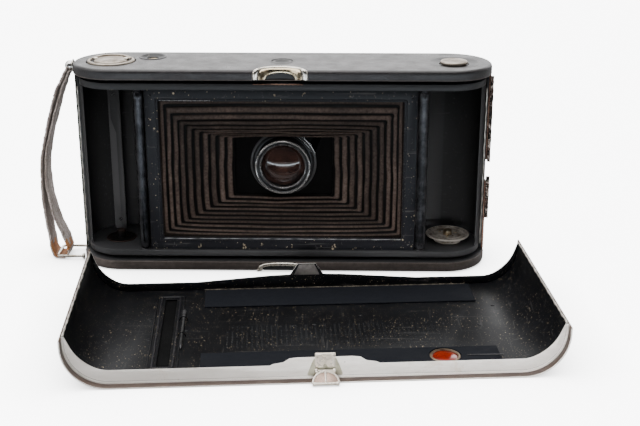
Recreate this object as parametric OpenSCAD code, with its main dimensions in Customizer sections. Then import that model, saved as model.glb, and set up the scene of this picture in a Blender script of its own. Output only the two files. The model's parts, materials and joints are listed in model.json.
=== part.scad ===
// Folding roll-film camera, standing on its long side with its front bed closed.
// Its removable back lies open in front of it, inside face up.
// X runs along the body, +Y points out of the lens, +Z is up.
// The origin is the centre of the body's bottom face.

/* [Body] */
// Length of the body from end to end
body_l = 241; // [236:1:246]
// Depth of the body from back to front
body_d = 50; // [50:1:54]
// Height of the body as it stands
body_h = 120.6; // [120:0.2:124]
// Thickness of each side plate with its leather
side_t = 6; // [6:0.2:6.6]
// Thickness of the leather covering
leather_t = 0.9; // [0.7:0.1:1]

/* [Film path] */
// Width of the film gate
gate_w = 140; // [136:1:142]
// Height of the film gate
gate_h = 82.5; // [80:0.5:84]
// Distance of each guide roller from the middle
roller_x = 80.9; // [80.9:0.1:82]
// Distance of each spool axis from the middle
spool_x = 98.5; // [97:0.5:100]

/* [Front] */
// How far the lens axis stands above the bottom face
lens_z = 58.5; // [58.5:0.1:60.5]
// Radius of the tube behind the lens board
lens_tube_r = 16.2; // [14:0.1:16.2]
// Number of bellows folds
fold_count = 10; // [8:1:10]

/* [Back cover] */
// Where the middle of the back lies beside the body
back_place = [19.4, -105.4]; // [-120:30]
// Turn of the back on the surface that it lies on
back_turn = 4.5; // [0:0.5:6]
// Length of the back over its curved ends
back_l = 243; // [242:1:246]
// Width of the back over its leather edges
back_w = 117.4; // [116:0.2:118]

/* [Hidden] */
$fn = 64;

mid_z = body_h / 2;
core_l = body_l - 2 * leather_t;
core_d = body_d - 2 * leather_t;
top_z = body_h - side_t;
groove_h = 2.4;
inner_plate_h = 3.6;
floor_z = side_t + groove_h + inner_plate_h;
roof_z = body_h - floor_z;
chamber_h = roof_z - floor_z;
rear_y = -body_d / 2;
front_y = body_d / 2;
film_y = -19;
wall_x = 76.2;
wall_t = 1.2;
shell_t = 1.4;
key_y = -1;
key_r = 13.5;
shaft_r = 3;
knob_y = -2;
button_r = 6.2;
socket = [-76, 10];
socket_r = 3.175;
running = 0.06;
roller_r = 3;
roller_pin_r = 1;

hinge = [76.6, front_y + 0.4];
hinge_r = 1.6;
bed_low_x = -75.6;
bed_z0 = 14.6;
bed_h = body_h - 2 * bed_z0;
bed_inner_y = front_y - 2.8;
bed_outer_y = front_y - leather_t;
foot = [hinge[0] - 14, hinge[1] - 14];
strut_pivot = [hinge[0] - 40, hinge[1] - 6.4];
strut_tilt = 6.7;
strut_l = 76;
strut_t = 1.2;
strut_gap = 44.2;
leg_x = -28;
leg_l = 40;
board_y = 4;
board_t = 2;
case_y = board_y + board_t;
case_t = 9;
face_y = case_y + case_t;
face_t = 1.2;
lens_front_y = face_y + face_t;
leg_half = 43;
shutter_post = [14, 14];
aperture_post = [10.5, -18.5];
dial = [-20.5, 5.5];
fold_t = 1.9;
fold_y = -17.3;
fold_end_y = fold_y + fold_count * fold_t;

back_half = back_l / 2;
back_r = 22;
tip_z = 26;
clasp_x = 3.5;
clasp_pin_r = 0.6;
clasp_pin_z = 5.6;
lever_tilt = 40;
lug_x = 4.3;
panel_t = leather_t + 1;
flange_half = 53.8;
flange_t = 0.8;
clasp_pin_y = -flange_half - 2.3;
flange_h = 7.6;
far_flange_h = 6.5;
pad_t = 0.8;
pad_w = 23;
window_r = 6.2;
door_half_w = 4.9;
door_half_l = 41.9;
stylus_l = 46;
clasp_pin_l = 10;
lever_r = 6.4;
lever_offset = 6.6;
lever_bar_y = 6.8;
lever_bar_l = 12.8;
lug_t = 1.2;
lug_r = 1.3;
slot_x = -75.4;
slot_w = 6.3;
slot_l = 81;
slot_y = 0.4;
window = [64.4, -37];

// A bar with fully round ends, centred on X and Y.
module stadium(l, d, h) {
    translate([-(l - d) / 2, -d / 2, 0]) cube([l - d, d, h]);
    for (side = [-1, 1]) translate([side * (l - d) / 2, 0, 0]) cylinder(h = h, d = d, $fn = 128);
}

// A disc or shaft whose axis runs along Y, starting at y.
module disc_y(r, y, t, x = 0, z = 0) {
    translate([x, y, z]) rotate([-90, 0, 0]) cylinder(h = t, r = r);
}

// A ring whose axis runs along Y.
module ring_y(r_out, r_in, y, t, x = 0, z = 0) {
    difference() {
        disc_y(r_out, y, t, x, z);
        disc_y(r_in, y - 1, t + 2, x, z);
    }
}

// A block given by its two corners.
module block(low, high) {
    translate(low) cube(high - low);
}

// ---- Body ----

// Every hole that the top side plate and its leather share.
module top_holes() {
    translate([-spool_x, key_y, top_z - 1]) cylinder(h = side_t + 2, r = shaft_r + running);
    translate([-spool_x, key_y, body_h - 1.5]) cylinder(h = 4, r = key_r + 0.9);
    translate([spool_x, knob_y, top_z - 1]) cylinder(h = side_t + 2, r = 2 + running);
    translate([spool_x, knob_y, body_h - 1.5]) cylinder(h = 4, r = key_r + 0.9);
    translate([socket[0], socket[1], top_z - 1]) cylinder(h = side_t + 2, r = 5.5);
    translate([0, 0, top_z + 0.6]) cylinder(h = side_t, r = button_r + 0.1);
}

module plate_top() {
    color("#23211f") difference() {
        translate([0, 0, top_z]) stadium(core_l, core_d, side_t - leather_t);
        top_holes();
    }
}

module leather_top() {
    color("#1d1b1a") difference() {
        translate([0, 0, top_z]) stadium(body_l, body_d, side_t);
        translate([0, 0, top_z - 1]) stadium(core_l, core_d, side_t - leather_t + 1);
        top_holes();
    }
}

module plate_bottom() {
    color("#23211f") translate([0, 0, leather_t]) stadium(core_l, core_d, side_t - leather_t);
}

module leather_bottom() {
    color("#3a322e") difference() {
        stadium(body_l, body_d, side_t);
        translate([0, 0, leather_t]) stadium(core_l, core_d, side_t);
    }
}

// The inner plate and the narrower spacer that leaves the groove for the back's flange.
module housing(spacer_z, plate_z) {
    translate([0, 0, plate_z]) stadium(body_l - 6, body_d - 6, inner_plate_h);
    translate([0, 0, spacer_z]) stadium(body_l - 18, body_d - 18, groove_h);
}

module housing_top() {
    color("#15171a") difference() {
        housing(top_z - groove_h, roof_z);
        translate([-spool_x, key_y, roof_z - 1]) cylinder(h = 8, r = shaft_r + running);
        translate([spool_x, knob_y, roof_z - 1]) cylinder(h = 8, r = 2 + running);
    }
}

module housing_bottom() {
    color("#15171a") housing(side_t, side_t + groove_h);
}

// The front half of the outer wall, open where the bed closes it.
module front_wall(l, d, t) {
    difference() {
        translate([0, 0, side_t]) stadium(l, d, top_z - side_t);
        translate([0, 0, side_t - 1]) stadium(l - 2 * t, d - 2 * t, top_z);
        translate([-body_l, -body_d, 0]) cube([2 * body_l, body_d, body_h]);
        block([-wall_x, 0, bed_z0 - 0.6], [hinge[0] + 2, body_d, body_h - bed_z0 + 0.6]);
    }
}

module front_shell() {
    color("#17181a") front_wall(core_l, core_d, shell_t);
}

module front_leather_left() {
    color("#26211f") difference() {
        front_wall(body_l, body_d, leather_t);
        block([0, -1, 0], [body_l, body_d, body_h]);
    }
}

// The right leather has lost a piece at the end of the body.
module front_leather_right() {
    color("#26211f") difference() {
        front_wall(body_l, body_d, leather_t);
        block([-body_l, -1, 0], [0, body_d, body_h]);
        block([body_l / 2 - 4, -1, 49], [body_l, 9, 62]);
    }
}

module chamber_shell(side) {
    difference() {
        translate([0, 0, floor_z]) stadium(body_l - 6, body_d - 6, chamber_h);
        translate([0, 0, floor_z - 1]) stadium(body_l - 8, body_d - 8, chamber_h + 2);
        block([-body_l, rear_y - 1, 0], [body_l, -10, body_h]);
        block([-body_l * (1 + side) / 2 - 1, -body_d, 0], [body_l * (1 - side) / 2 + 1, body_d, body_h]);
        block([-wall_x - wall_t, -body_d, 0], [wall_x + wall_t, body_d, body_h]);
    }
}

module chamber_shell_left() {
    color("#101113") chamber_shell(-1);
}

module chamber_shell_right() {
    color("#101113") chamber_shell(1);
}

module gate_frame() {
    color("#1a1c20") difference() {
        block([-wall_x - wall_t, film_y - 1, floor_z], [wall_x + wall_t, film_y + 1.2, roof_z]);
        translate([0, film_y, mid_z]) cube([gate_w, 10, gate_h], center = true);
    }
}

module inner_wall_left() {
    color("#141518") block([-wall_x - wall_t, film_y + 1.2, floor_z],
        [-wall_x, front_y - leather_t - shell_t, roof_z]);
}

module inner_wall_right() {
    color("#141518") block([wall_x, film_y + 1.2, floor_z],
        [wall_x + wall_t, front_y - leather_t - shell_t, roof_z]);
}

// ---- Film path ----

module roller_pins() {
    color("#c9c4b8") for (side = [-1, 1]) {
        translate([side * roller_x, film_y, floor_z]) cylinder(h = chamber_h, r = roller_pin_r);
    }
}

module roller(side) {
    difference() {
        translate([side * roller_x, film_y, floor_z + 0.5]) cylinder(h = chamber_h - 1, r = roller_r);
        translate([side * roller_x, film_y, floor_z]) cylinder(h = chamber_h, r = roller_pin_r + running);
    }
}

module roller_left() {
    color("#55575a") roller(-1);
}

module roller_right() {
    color("#2a2b2e") roller(1);
}

// A flat spring bar that presses on the film roll, with a foot at each end.
module film_spring() {
    color("#202225") {
        block([-104, 9, floor_z + 2], [-97, 10, roof_z - 4]);
        for (z = [floor_z + 2, roof_z - 10]) intersection() {
            block([-103, 10, z], [-98, body_d, z + 6]);
            translate([body_d / 2 - body_l / 2, 0, z]) cylinder(h = 6, r = body_d / 2 - 4, $fn = 128);
        }
    }
}

// The brass pin of the take-up side and the sprung flange of the feed side.
module spool_seats() {
    color("#b5a27a") {
        translate([-spool_x, key_y, floor_z]) cylinder(h = 5, r = 2.6);
        translate([-spool_x, key_y, floor_z]) cylinder(h = 0.6, r = 9);
        translate([spool_x, knob_y, floor_z]) cylinder(h = 3.4, r = 8);
        difference() {
            translate([spool_x, knob_y, floor_z + 3.4]) cylinder(h = 1.1, r = 13);
            translate([spool_x, knob_y, floor_z + 4]) cylinder(h = 2, r = 8.6);
        }
        translate([spool_x, knob_y, floor_z + 4]) cylinder(h = 3, r = 2.6);
    }
}

// The key's dial, its shaft through the side plate and the blade that turns the spool.
module winding_key() {
    color("#4b4a48") translate([-spool_x, key_y, 0]) {
        translate([0, 0, body_h - 1.2]) difference() {
            cylinder(h = 1.9, r = key_r);
            translate([0, 0, 0.9]) difference() {
                cylinder(h = 2, r = key_r - 1.5);
                translate([0, 0, -1]) cylinder(h = 4, r = 7.7);
            }
        }
        translate([0, 0, roof_z - 1]) cylinder(h = body_h - roof_z, r = shaft_r);
        translate([0, 0, roof_z - 5]) translate([-2.6, -0.8, 0]) cube([5.2, 1.6, 4.2]);
        for (side = [-1, 1]) translate([side * 6.6 - 0.9, -1.2, body_h + 0.7]) cube([1.8, 2.4, 1.2]);
    }
}

// A D-shaped finger wing that folds flat on the key's dial.
module key_wing() {
    color("#77736b") translate([-spool_x, key_y, body_h + 1.3]) {
        translate([-5.4, 0, 0]) rotate([0, 90, 0]) cylinder(h = 10.8, r = 0.55);
        difference() {
            translate([0, 0, -0.5]) cylinder(h = 1, r = 11.4);
            translate([0, 0, -1]) cylinder(h = 2, r = 8.6);
            translate([-12, -24, -1]) cube([24, 24, 2]);
        }
        for (side = [-1, 1]) translate([side * 4.6 - 0.7, 0, -0.5]) cube([1.4, 7.4, 1]);
        translate([-9.5, 7.3, -0.5]) cube([19, 1.6, 1]);
    }
}

module spool_knob() {
    color("#b9b4a8") translate([spool_x, knob_y, 0]) {
        translate([0, 0, body_h - 1.2]) cylinder(h = 2.4, r = 7.75);
        translate([0, 0, roof_z - 4]) cylinder(h = body_h - roof_z + 3, r = 2);
    }
}

module tripod_socket() {
    color("#3d3a33") difference() {
        translate([socket[0], socket[1], 0]) {
            translate([0, 0, top_z]) cylinder(h = side_t, r = 5.5);
            translate([0, 0, body_h]) cylinder(h = 0.5, r = 8);
        }
        translate([socket[0], socket[1], top_z - 1]) cylinder(h = side_t + 3, r = socket_r);
    }
}

module release_button() {
    color("#201e1d") translate([0, 0, top_z + 2]) cylinder(h = side_t - 1.6, r = button_r);
}

// The crescent plates on the rear rims that the back's clasp and tongue hold.
module catch_plates() {
    color("#b9b4a8") {
        difference() {
            intersection() {
                translate([0, rear_y - 3, body_h]) cylinder(h = 0.6, r = 16);
                block([-15.7, rear_y - 0.5, body_h - 1], [15.7, rear_y + 13, body_h + 1]);
            }
            translate([0, rear_y, body_h - 1]) cylinder(h = 3, r = 5);
        }
        difference() {
            block([-15.7, rear_y - 0.5, top_z + 0.6], [15.7, rear_y, body_h + 0.6]);
            block([-5, rear_y - 1, top_z + 3], [5, rear_y + 1, body_h + 2]);
        }
        difference() {
            block([-15.7, rear_y - 0.5, 0.2], [15.7, rear_y, side_t - 0.4]);
            block([-6, rear_y - 1, 2], [6, rear_y + 1, 4.6]);
        }
    }
}

// ---- Strap ----

strap_w = 15;
strap_x = -body_l / 2;
strap_outer = [[-129, 108], [-140.4, 73], [-143.6, 48], [-143.6, 32], [-140.6, 14], [-137.4, 2]];
strap_inner = [[-133.4, 2], [-134.6, 12.8], [-138.4, 32], [-140.6, 48], [-138.2, 72.8], [-126.4, 107]];

module strap_fittings() {
    color("#9c9484") {
        translate([strap_x - 5.6, 0, body_h - 3]) rotate([0, 90, 0]) cylinder(h = 5.6, r = 1.6);
        translate([strap_x - 5.6, 0, body_h - 3]) sphere(r = 2.9);
        for (y = [-9, 9]) {
            translate([strap_x - 17, y - 0.8, 1.6]) cube([17, 1.6, 1.6]);
        }
        translate([strap_x - 17, -9.8, 1.6]) cube([1.6, 19.6, 1.6]);
    }
}

module strap() {
    color("#5a4636") difference() {
        translate([0, strap_w / 2, 0]) rotate([90, 0, 0]) linear_extrude(strap_w) polygon(concat(
            [[-124.4, 114.4], [-128, 114.2]], strap_outer, strap_inner));
        translate([strap_x - 17.2, -strap_w, 1.4]) cube([2, 2 * strap_w, 2]);
    }
}

// ---- Bellows ----

// Nested frames that step in from the gate to the lens.
module bellows() {
    color("#2e2826") for (i = [0:fold_count - 1]) {
        half_w = 68 - 4.7 * i;
        half_h = 40 - 2.4 * i;
        difference() {
            block([-half_w - 6, fold_y + i * fold_t, mid_z - half_h - 3],
                [half_w + 6, fold_y + (i + 1) * fold_t, mid_z + half_h + 3]);
            translate([0, 0, mid_z]) cube([2 * half_w, 4 * body_d, 2 * half_h], center = true);
        }
    }
}

module bellows_cuff() {
    color("#2e2826") difference() {
        block([-34, fold_end_y + 0.1, mid_z - 30], [34, board_y - 0.3, mid_z + 30]);
        translate([0, 0, mid_z]) cube([52, 4 * body_d, 45], center = true);
    }
}

// ---- Bed ----

module hinge_knuckles() {
    color("#3a3a3c") {
        for (z = [bed_z0, body_h - bed_z0 - 5]) {
            difference() {
                union() {
                    translate([hinge[0], hinge[1], z]) cylinder(h = 5, r = hinge_r);
                    block([hinge[0], hinge[1] - hinge_r, z], [hinge[0] + 2, hinge[1] - 0.4, z + 5]);
                }
                translate([hinge[0], hinge[1], z - 1]) cylinder(h = 7, r = 0.7);
            }
        }
        translate([hinge[0], hinge[1], bed_z0]) cylinder(h = bed_h, r = 0.7);
    }
}

// The bed plate between two depths, cut round the fixed knuckles.
module bed_layer(y0, y1) {
    difference() {
        block([bed_low_x, y0, bed_z0], [hinge[0] - 1.2, y1, bed_z0 + bed_h]);
        translate([hinge[0], hinge[1], 0]) cylinder(h = body_h, r = hinge_r);
        for (z = [bed_z0 - 1, body_h - bed_z0 - 5.3]) {
            translate([hinge[0], hinge[1], z]) cylinder(h = 6.3, r = hinge_r + 0.4);
        }
    }
}

module bed_panel() {
    color("#2b2c2f") {
        bed_layer(bed_inner_y, bed_outer_y);
        translate([hinge[0], hinge[1], bed_z0 + 5.3]) difference() {
            cylinder(h = bed_h - 10.6, r = hinge_r);
            translate([0, 0, -1]) cylinder(h = bed_h, r = 0.7 + running);
        }
        for (side = [-1, 1]) {
            translate([strut_pivot[0], strut_pivot[1], mid_z + side * (strut_gap + 0.4)]) {
                cylinder(h = 2 * strut_t + 0.8, r = 1.2, center = true);
            }
            translate([strut_pivot[0] - 2, strut_pivot[1] - 1.6, mid_z + side * (strut_gap - 1.8) - 1]) {
                cube([4, bed_inner_y - strut_pivot[1] + 1.6, 2]);
            }
        }
        block([bed_low_x + 1.6, bed_inner_y - 3, mid_z - 8], [bed_low_x + 4.6, bed_inner_y, mid_z + 8]);
    }
}

module bed_leather() {
    color("#201d1c") bed_layer(bed_outer_y, front_y);
}

module bed_rails() {
    color("#b9b4a8") for (side = [-1, 1]) {
        block([bed_low_x + 8, bed_inner_y - 1.4, mid_z + side * 23 - 1],
            [hinge[0] - 5, bed_inner_y, mid_z + side * 23 + 1]);
    }
}

// A folding leg on the bed's outer face.
module support_leg() {
    color("#b9b4a8") {
        block([leg_x - leg_l, front_y + 0.3, mid_z - 4], [leg_x, front_y + 1.3, mid_z + 4]);
        translate([leg_x, front_y + 1.5, mid_z - 4]) cylinder(h = 8, r = 1.2);
    }
}

module bed_struts() {
    color("#b9b4a8") for (side = [-1, 1]) {
        translate([strut_pivot[0], strut_pivot[1], mid_z + side * (strut_gap + 0.4 + strut_t / 2)])
            rotate([0, 0, strut_tilt]) difference() {
                union() {
                    translate([-strut_l, -1.8, -strut_t / 2]) cube([strut_l, 3.6, strut_t]);
                    cylinder(h = strut_t, r = 2.4, center = true);
                }
                cylinder(h = 4, r = 1.2 + running, center = true);
                translate([-strut_l + 2, -0.9, -2]) cube([52, 1.8, 4]);
            }
    }
}

// ---- Carriage and standard ----

module carriage() {
    color("#8f8c85") {
        block([foot[0] - 8, bed_inner_y - 3.7, mid_z - 27], [foot[0] + 9, bed_inner_y - 1.7, mid_z + 27]);
        for (side = [-1, 1]) {
            z = mid_z + side * 23.5 - 1.5;
            difference() {
                union() {
                    block([foot[0] - 3, foot[1], z], [foot[0] + 3, bed_inner_y - 3.7, z + 3]);
                    translate([foot[0], foot[1], z]) cylinder(h = 3, r = 3);
                }
                translate([foot[0], foot[1], z - 1]) cylinder(h = 5, r = 1.2 + running);
            }
        }
    }
}

// The frame that stands up from the carriage and holds the lens board by its two sides.
module standard_frame() {
    color("#b9b4a8") {
        translate([foot[0], foot[1], mid_z - 25.4]) cylinder(h = 50.8, r = 1.2);
        difference() {
            translate([foot[0], foot[1], mid_z - 21.5]) cylinder(h = 43, r = 2.4);
            translate([foot[0], foot[1], mid_z - 25]) cylinder(h = 50, r = 1.2);
        }
        block([50, foot[1] - 1, mid_z - 21.5], [foot[0] - 2.2, foot[1] + 1, mid_z + 21.5]);
        block([46, foot[1] - 1.5, mid_z - leg_half], [50, foot[1] + 1.5, mid_z + leg_half]);
        for (side = [-1, 1]) {
            z = mid_z + side * (leg_half - 1);
            block([-31, foot[1] - 1.5, z - 1], [46, foot[1] + 1.5, z + 1]);
            block([-31, board_y, mid_z + side * (leg_half - 3.5) - 1.5],
                [31, foot[1] + 1.5, mid_z + side * (leg_half - 3.5) + 1.5]);
        }
    }
}

module lens_board() {
    color("#1b1a19") difference() {
        block([-31, board_y, mid_z - leg_half + 5], [31, board_y + board_t, mid_z + leg_half - 5]);
        disc_y(13, board_y - 1, board_t + 2, 0, lens_z);
    }
}

module shutter_case() {
    color("#1f2022") ring_y(28.5, 13, case_y, case_t, 0, lens_z);
}

module shutter_face() {
    color("#c4bfb2") ring_y(27, 9, face_y, face_t, 0, lens_z);
}

module speed_dial() {
    color("#d8d3c6") {
        disc_y(dial[1], lens_front_y, 1.8, dial[0], lens_z);
        disc_y(2, lens_front_y + 1.8, 1, dial[0], lens_z);
    }
}

// A flat lever on its own post, with a finger tab, pointing out from the lens axis at an angle.
module lever(post, angle, reach) {
    translate([post[0], lens_front_y + 0.2, lens_z + post[1]]) rotate([0, angle, 0]) {
        disc_y(2.2, 0, 1);
        difference() {
            block([0, 0, -1.1], [reach, 1, 1.1]);
            disc_y(2.2, -1, 3);
        }
        block([reach, 0, -1.8], [reach + 1.2, 3, 1.8]);
    }
}

module shutter_lever() {
    color("#b9b4a8") lever(shutter_post, -45, 12);
}

module aperture_lever() {
    color("#b9b4a8") lever(aperture_post, 30, 10);
}

// Leaves that leave a round stop.
module iris_blades() {
    color("#6d6c6a") ring_y(12.6, 7, case_y + 4, 0.6, 0, lens_z);
}

module front_lens_ring() {
    color("#2a2a2b") ring_y(12.6, 10, lens_front_y, 4, 0, lens_z);
}

module glass_y(r, y, t) {
    color("#8a97a0") disc_y(r, y, t, 0, lens_z);
}

module front_glass() {
    glass_y(10, lens_front_y + 0.8, 2.4);
}

module rear_tube() {
    color("#1a1a1b") {
        ring_y(lens_tube_r, lens_tube_r - 1.8, board_y - 11, 9.2, 0, lens_z);
        ring_y(19.8, lens_tube_r - 1.8, board_y - 1.8, 1.8, 0, lens_z);
    }
}

module rear_glass() {
    glass_y(lens_tube_r - 1.8, board_y - 9.6, 3.2);
}

// A small reflecting finder beside the shutter.
module finder_body() {
    color("#2a2a2b") difference() {
        union() {
            block([-30, case_y, mid_z + 29], [-18, case_y + 12, mid_z + 38]);
        }
        block([-28.4, case_y + 10, mid_z + 30.6], [-19.6, case_y + 13, mid_z + 36.4]);
        block([-31, case_y + 2, mid_z + 30.6], [-28, case_y + 10, mid_z + 36.4]);
    }
}

module finder_glass() {
    color("#8a97a0") {
        block([-28.4, case_y + 10, mid_z + 30.6], [-19.6, case_y + 11.4, mid_z + 36.4]);
        block([-29.6, case_y + 2, mid_z + 30.6], [-28, case_y + 10, mid_z + 36.4]);
    }
}

// ---- Back cover ----

// Puts a part that is drawn with the back's own middle at the origin where the back lies.
module on_back() {
    translate([back_place[0], back_place[1], 0]) rotate([0, 0, back_turn]) children();
}

// The back's long section between two depths: flat, quarter-round ends, then straight tips.
module back_section(z0, z1) {
    flat = back_half - back_r;
    translate([-flat, z0]) square([2 * flat, z1 - z0]);
    for (side = [-1, 1]) {
        intersection() {
            translate([side * flat, back_r]) difference() {
                circle(r = back_r - z0, $fn = 128);
                circle(r = back_r - z1, $fn = 128);
            }
            translate([side > 0 ? flat : -back_half, 0]) square([back_r, back_r]);
        }
        translate([side > 0 ? back_half - z1 : z0 - back_half, back_r]) square([z1 - z0, tip_z - back_r]);
    }
}

// Sweeps a drawing in X and Z along Y, from y0 to y1.
module along_y(y0, y1) {
    translate([0, y1, 0]) rotate([90, 0, 0]) linear_extrude(y1 - y0) children();
}

// The slot and the window that go through the back.
module back_holes() {
    block([slot_x - slot_w / 2, slot_y - slot_l / 2, -1], [slot_x + slot_w / 2, slot_y + slot_l / 2, 6]);
    translate([window[0], window[1], -1]) cylinder(h = 8, r = 6.2);
}

module back_leather() {
    color("#3a2c26") on_back() difference() {
        along_y(-back_w / 2, back_w / 2) back_section(0, leather_t);
        back_holes();
        block([slot_x - 5.3, slot_y - 42.3, -1], [slot_x + 5.3, slot_y + 42.3, leather_t]);
    }
}

module back_shell() {
    color("#161719") on_back() difference() {
        along_y(-flange_half, flange_half) back_section(leather_t, panel_t);
        back_holes();
    }
}

// The two light-trap flanges. The far one carries the tongue and the near one the clasp's tab.
module back_flanges() {
    color("#cfc8bc") on_back() {
        along_y(-flange_half, -flange_half + flange_t) {
            back_section(panel_t, flange_h);
            translate([clasp_x, 0]) polygon([[-26.5, flange_h], [-25, flange_h + 0.8],
                [-20, flange_h + 1.6], [-17, 11.2], [-13, 11.6], [13, 11.6], [17, 11.2],
                [20, flange_h + 1.6], [25, flange_h + 0.8], [26.5, flange_h]]);
        }
        along_y(flange_half - flange_t, flange_half) {
            back_section(panel_t, far_flange_h);
            polygon([[-62, far_flange_h], [-20, 9.6], [-9.4, 10], [-5, 16.4], [5, 16.4], [9.4, 10],
                [20, 9.6], [62, far_flange_h]]);
        }
    }
}

// Velvet strips that press on the film beside the gate.
module back_pads() {
    color("#1c1d20") on_back() difference() {
        for (y = [-51, 28]) block([-57, y, panel_t], [92, y + pad_w, panel_t + pad_t]);
        translate([window[0], window[1], 0]) cylinder(h = 6, r = window_r + 1.8);
    }
}

module window_ring() {
    color("#2a2a2b") on_back() translate([window[0], window[1], panel_t]) difference() {
        cylinder(h = 0.7, r = window_r + 1.4);
        translate([0, 0, -1]) cylinder(h = 3, r = window_r - 0.6);
    }
}

module window_glass() {
    color("#d8501a") on_back() translate([window[0], window[1], 0.6])
        cylinder(h = panel_t - 0.6, r = window_r);
}

// A long narrow door over the writing slot, flush with the leather.
module writing_door() {
    color("#4a4238") on_back() {
        block([slot_x - door_half_w, slot_y - door_half_l, 0.1],
            [slot_x + door_half_w, slot_y + door_half_l, leather_t - 0.1]);
    }
}

module stylus() {
    color("#b9b4a8") on_back() translate([slot_x + 8, slot_y - stylus_l / 2, panel_t + 1])
        rotate([-90, 0, 0]) cylinder(h = stylus_l, r = 1);
}

module clasp_plate() {
    color("#b9b4a8") on_back() {
        along_y(-flange_half - 1, -flange_half) translate([clasp_x, 0]) polygon([[-9, 2.2], [9, 2.2],
            [6, 9], [4.9, 9.6], [4.9, 14.2], [-4.9, 14.2], [-4.9, 9.6], [-6, 9]]);
        for (side = [-1, 1]) difference() {
            hull() {
                translate([clasp_x + side * lug_x, clasp_pin_y, clasp_pin_z]) rotate([0, 90, 0])
                    cylinder(h = lug_t, r = lug_r, center = true);
                translate([clasp_x + side * lug_x, -flange_half - 0.5, clasp_pin_z])
                    cube([lug_t, 1, 2 * lug_r], center = true);
            }
            translate([clasp_x + side * lug_x, clasp_pin_y, clasp_pin_z]) rotate([0, 90, 0])
                cylinder(h = 3, r = clasp_pin_r + running, center = true);
        }
    }
}

// The half-round lever hangs outward from its pin, over the cover's near edge.
module clasp_lever() {
    color("#a9a290") on_back() translate([clasp_x, clasp_pin_y, clasp_pin_z]) rotate([lever_tilt, 0, 0]) {
        rotate([0, 90, 0]) cylinder(h = clasp_pin_l, r = clasp_pin_r, center = true);
        intersection() {
            translate([0, -lever_offset, -0.55]) cylinder(h = 1, r = lever_r);
            block([-7, -lever_offset - 0.1, -1], [7, 0, 1]);
        }
        translate([0, -lever_bar_y, 0]) rotate([0, 90, 0]) cylinder(h = lever_bar_l, r = 1, center = true);
    }
}

plate_top();
plate_bottom();
leather_top();
leather_bottom();
housing_top();
housing_bottom();
front_shell();
front_leather_left();
front_leather_right();
chamber_shell_left();
chamber_shell_right();
gate_frame();
inner_wall_left();
inner_wall_right();
roller_pins();
roller_left();
roller_right();
film_spring();
spool_seats();
winding_key();
key_wing();
spool_knob();
tripod_socket();
release_button();
catch_plates();
strap_fittings();
strap();
bellows();
hinge_knuckles();
bed_panel();
bed_leather();
bed_rails();
support_leg();
bed_struts();
carriage();
standard_frame();
lens_board();
shutter_case();
shutter_face();
speed_dial();
shutter_lever();
aperture_lever();
iris_blades();
front_lens_ring();
front_glass();
rear_tube();
rear_glass();
finder_body();
finder_glass();
bellows_cuff();
back_leather();
back_shell();
back_flanges();
back_pads();
window_ring();
window_glass();
writing_door();
stylus();
clasp_plate();
clasp_lever();
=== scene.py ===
"""Folding roll-film camera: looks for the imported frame. Lengths are metres, in the frame of the CAD."""
import json
import random
from contextlib import contextmanager
from math import asin, atan2, copysign, cos, exp, pi, radians, sin

import bmesh
import bpy
from mathutils import Matrix, Vector


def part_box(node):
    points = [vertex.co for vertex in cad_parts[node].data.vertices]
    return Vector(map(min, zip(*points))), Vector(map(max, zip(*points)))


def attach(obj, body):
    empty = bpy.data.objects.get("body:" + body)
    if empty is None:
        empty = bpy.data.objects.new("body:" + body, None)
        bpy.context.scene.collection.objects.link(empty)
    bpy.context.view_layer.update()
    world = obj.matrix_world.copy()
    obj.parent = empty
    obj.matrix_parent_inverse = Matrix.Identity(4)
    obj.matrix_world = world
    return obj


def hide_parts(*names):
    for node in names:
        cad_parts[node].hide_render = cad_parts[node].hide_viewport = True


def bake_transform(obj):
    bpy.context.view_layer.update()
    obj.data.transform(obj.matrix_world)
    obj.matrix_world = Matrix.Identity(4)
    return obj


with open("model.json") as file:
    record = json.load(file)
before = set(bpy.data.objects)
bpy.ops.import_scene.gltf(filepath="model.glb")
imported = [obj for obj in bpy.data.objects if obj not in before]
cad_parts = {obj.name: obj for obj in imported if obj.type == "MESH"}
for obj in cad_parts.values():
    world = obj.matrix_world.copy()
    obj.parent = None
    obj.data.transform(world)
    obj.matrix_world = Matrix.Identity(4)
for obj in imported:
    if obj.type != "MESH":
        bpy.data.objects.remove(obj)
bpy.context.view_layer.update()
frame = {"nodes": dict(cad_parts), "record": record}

MM = 0.001
UP, REAR, FRONT, LEFT = (0, 0, 1), (0, -1, 0), (0, 1, 0), (-1, 0, 0)
CORNERS = ((-1, -1), (-1, 1), (1, -1), (1, 1))


# ---------------------------------------------------------------- node helpers

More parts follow.
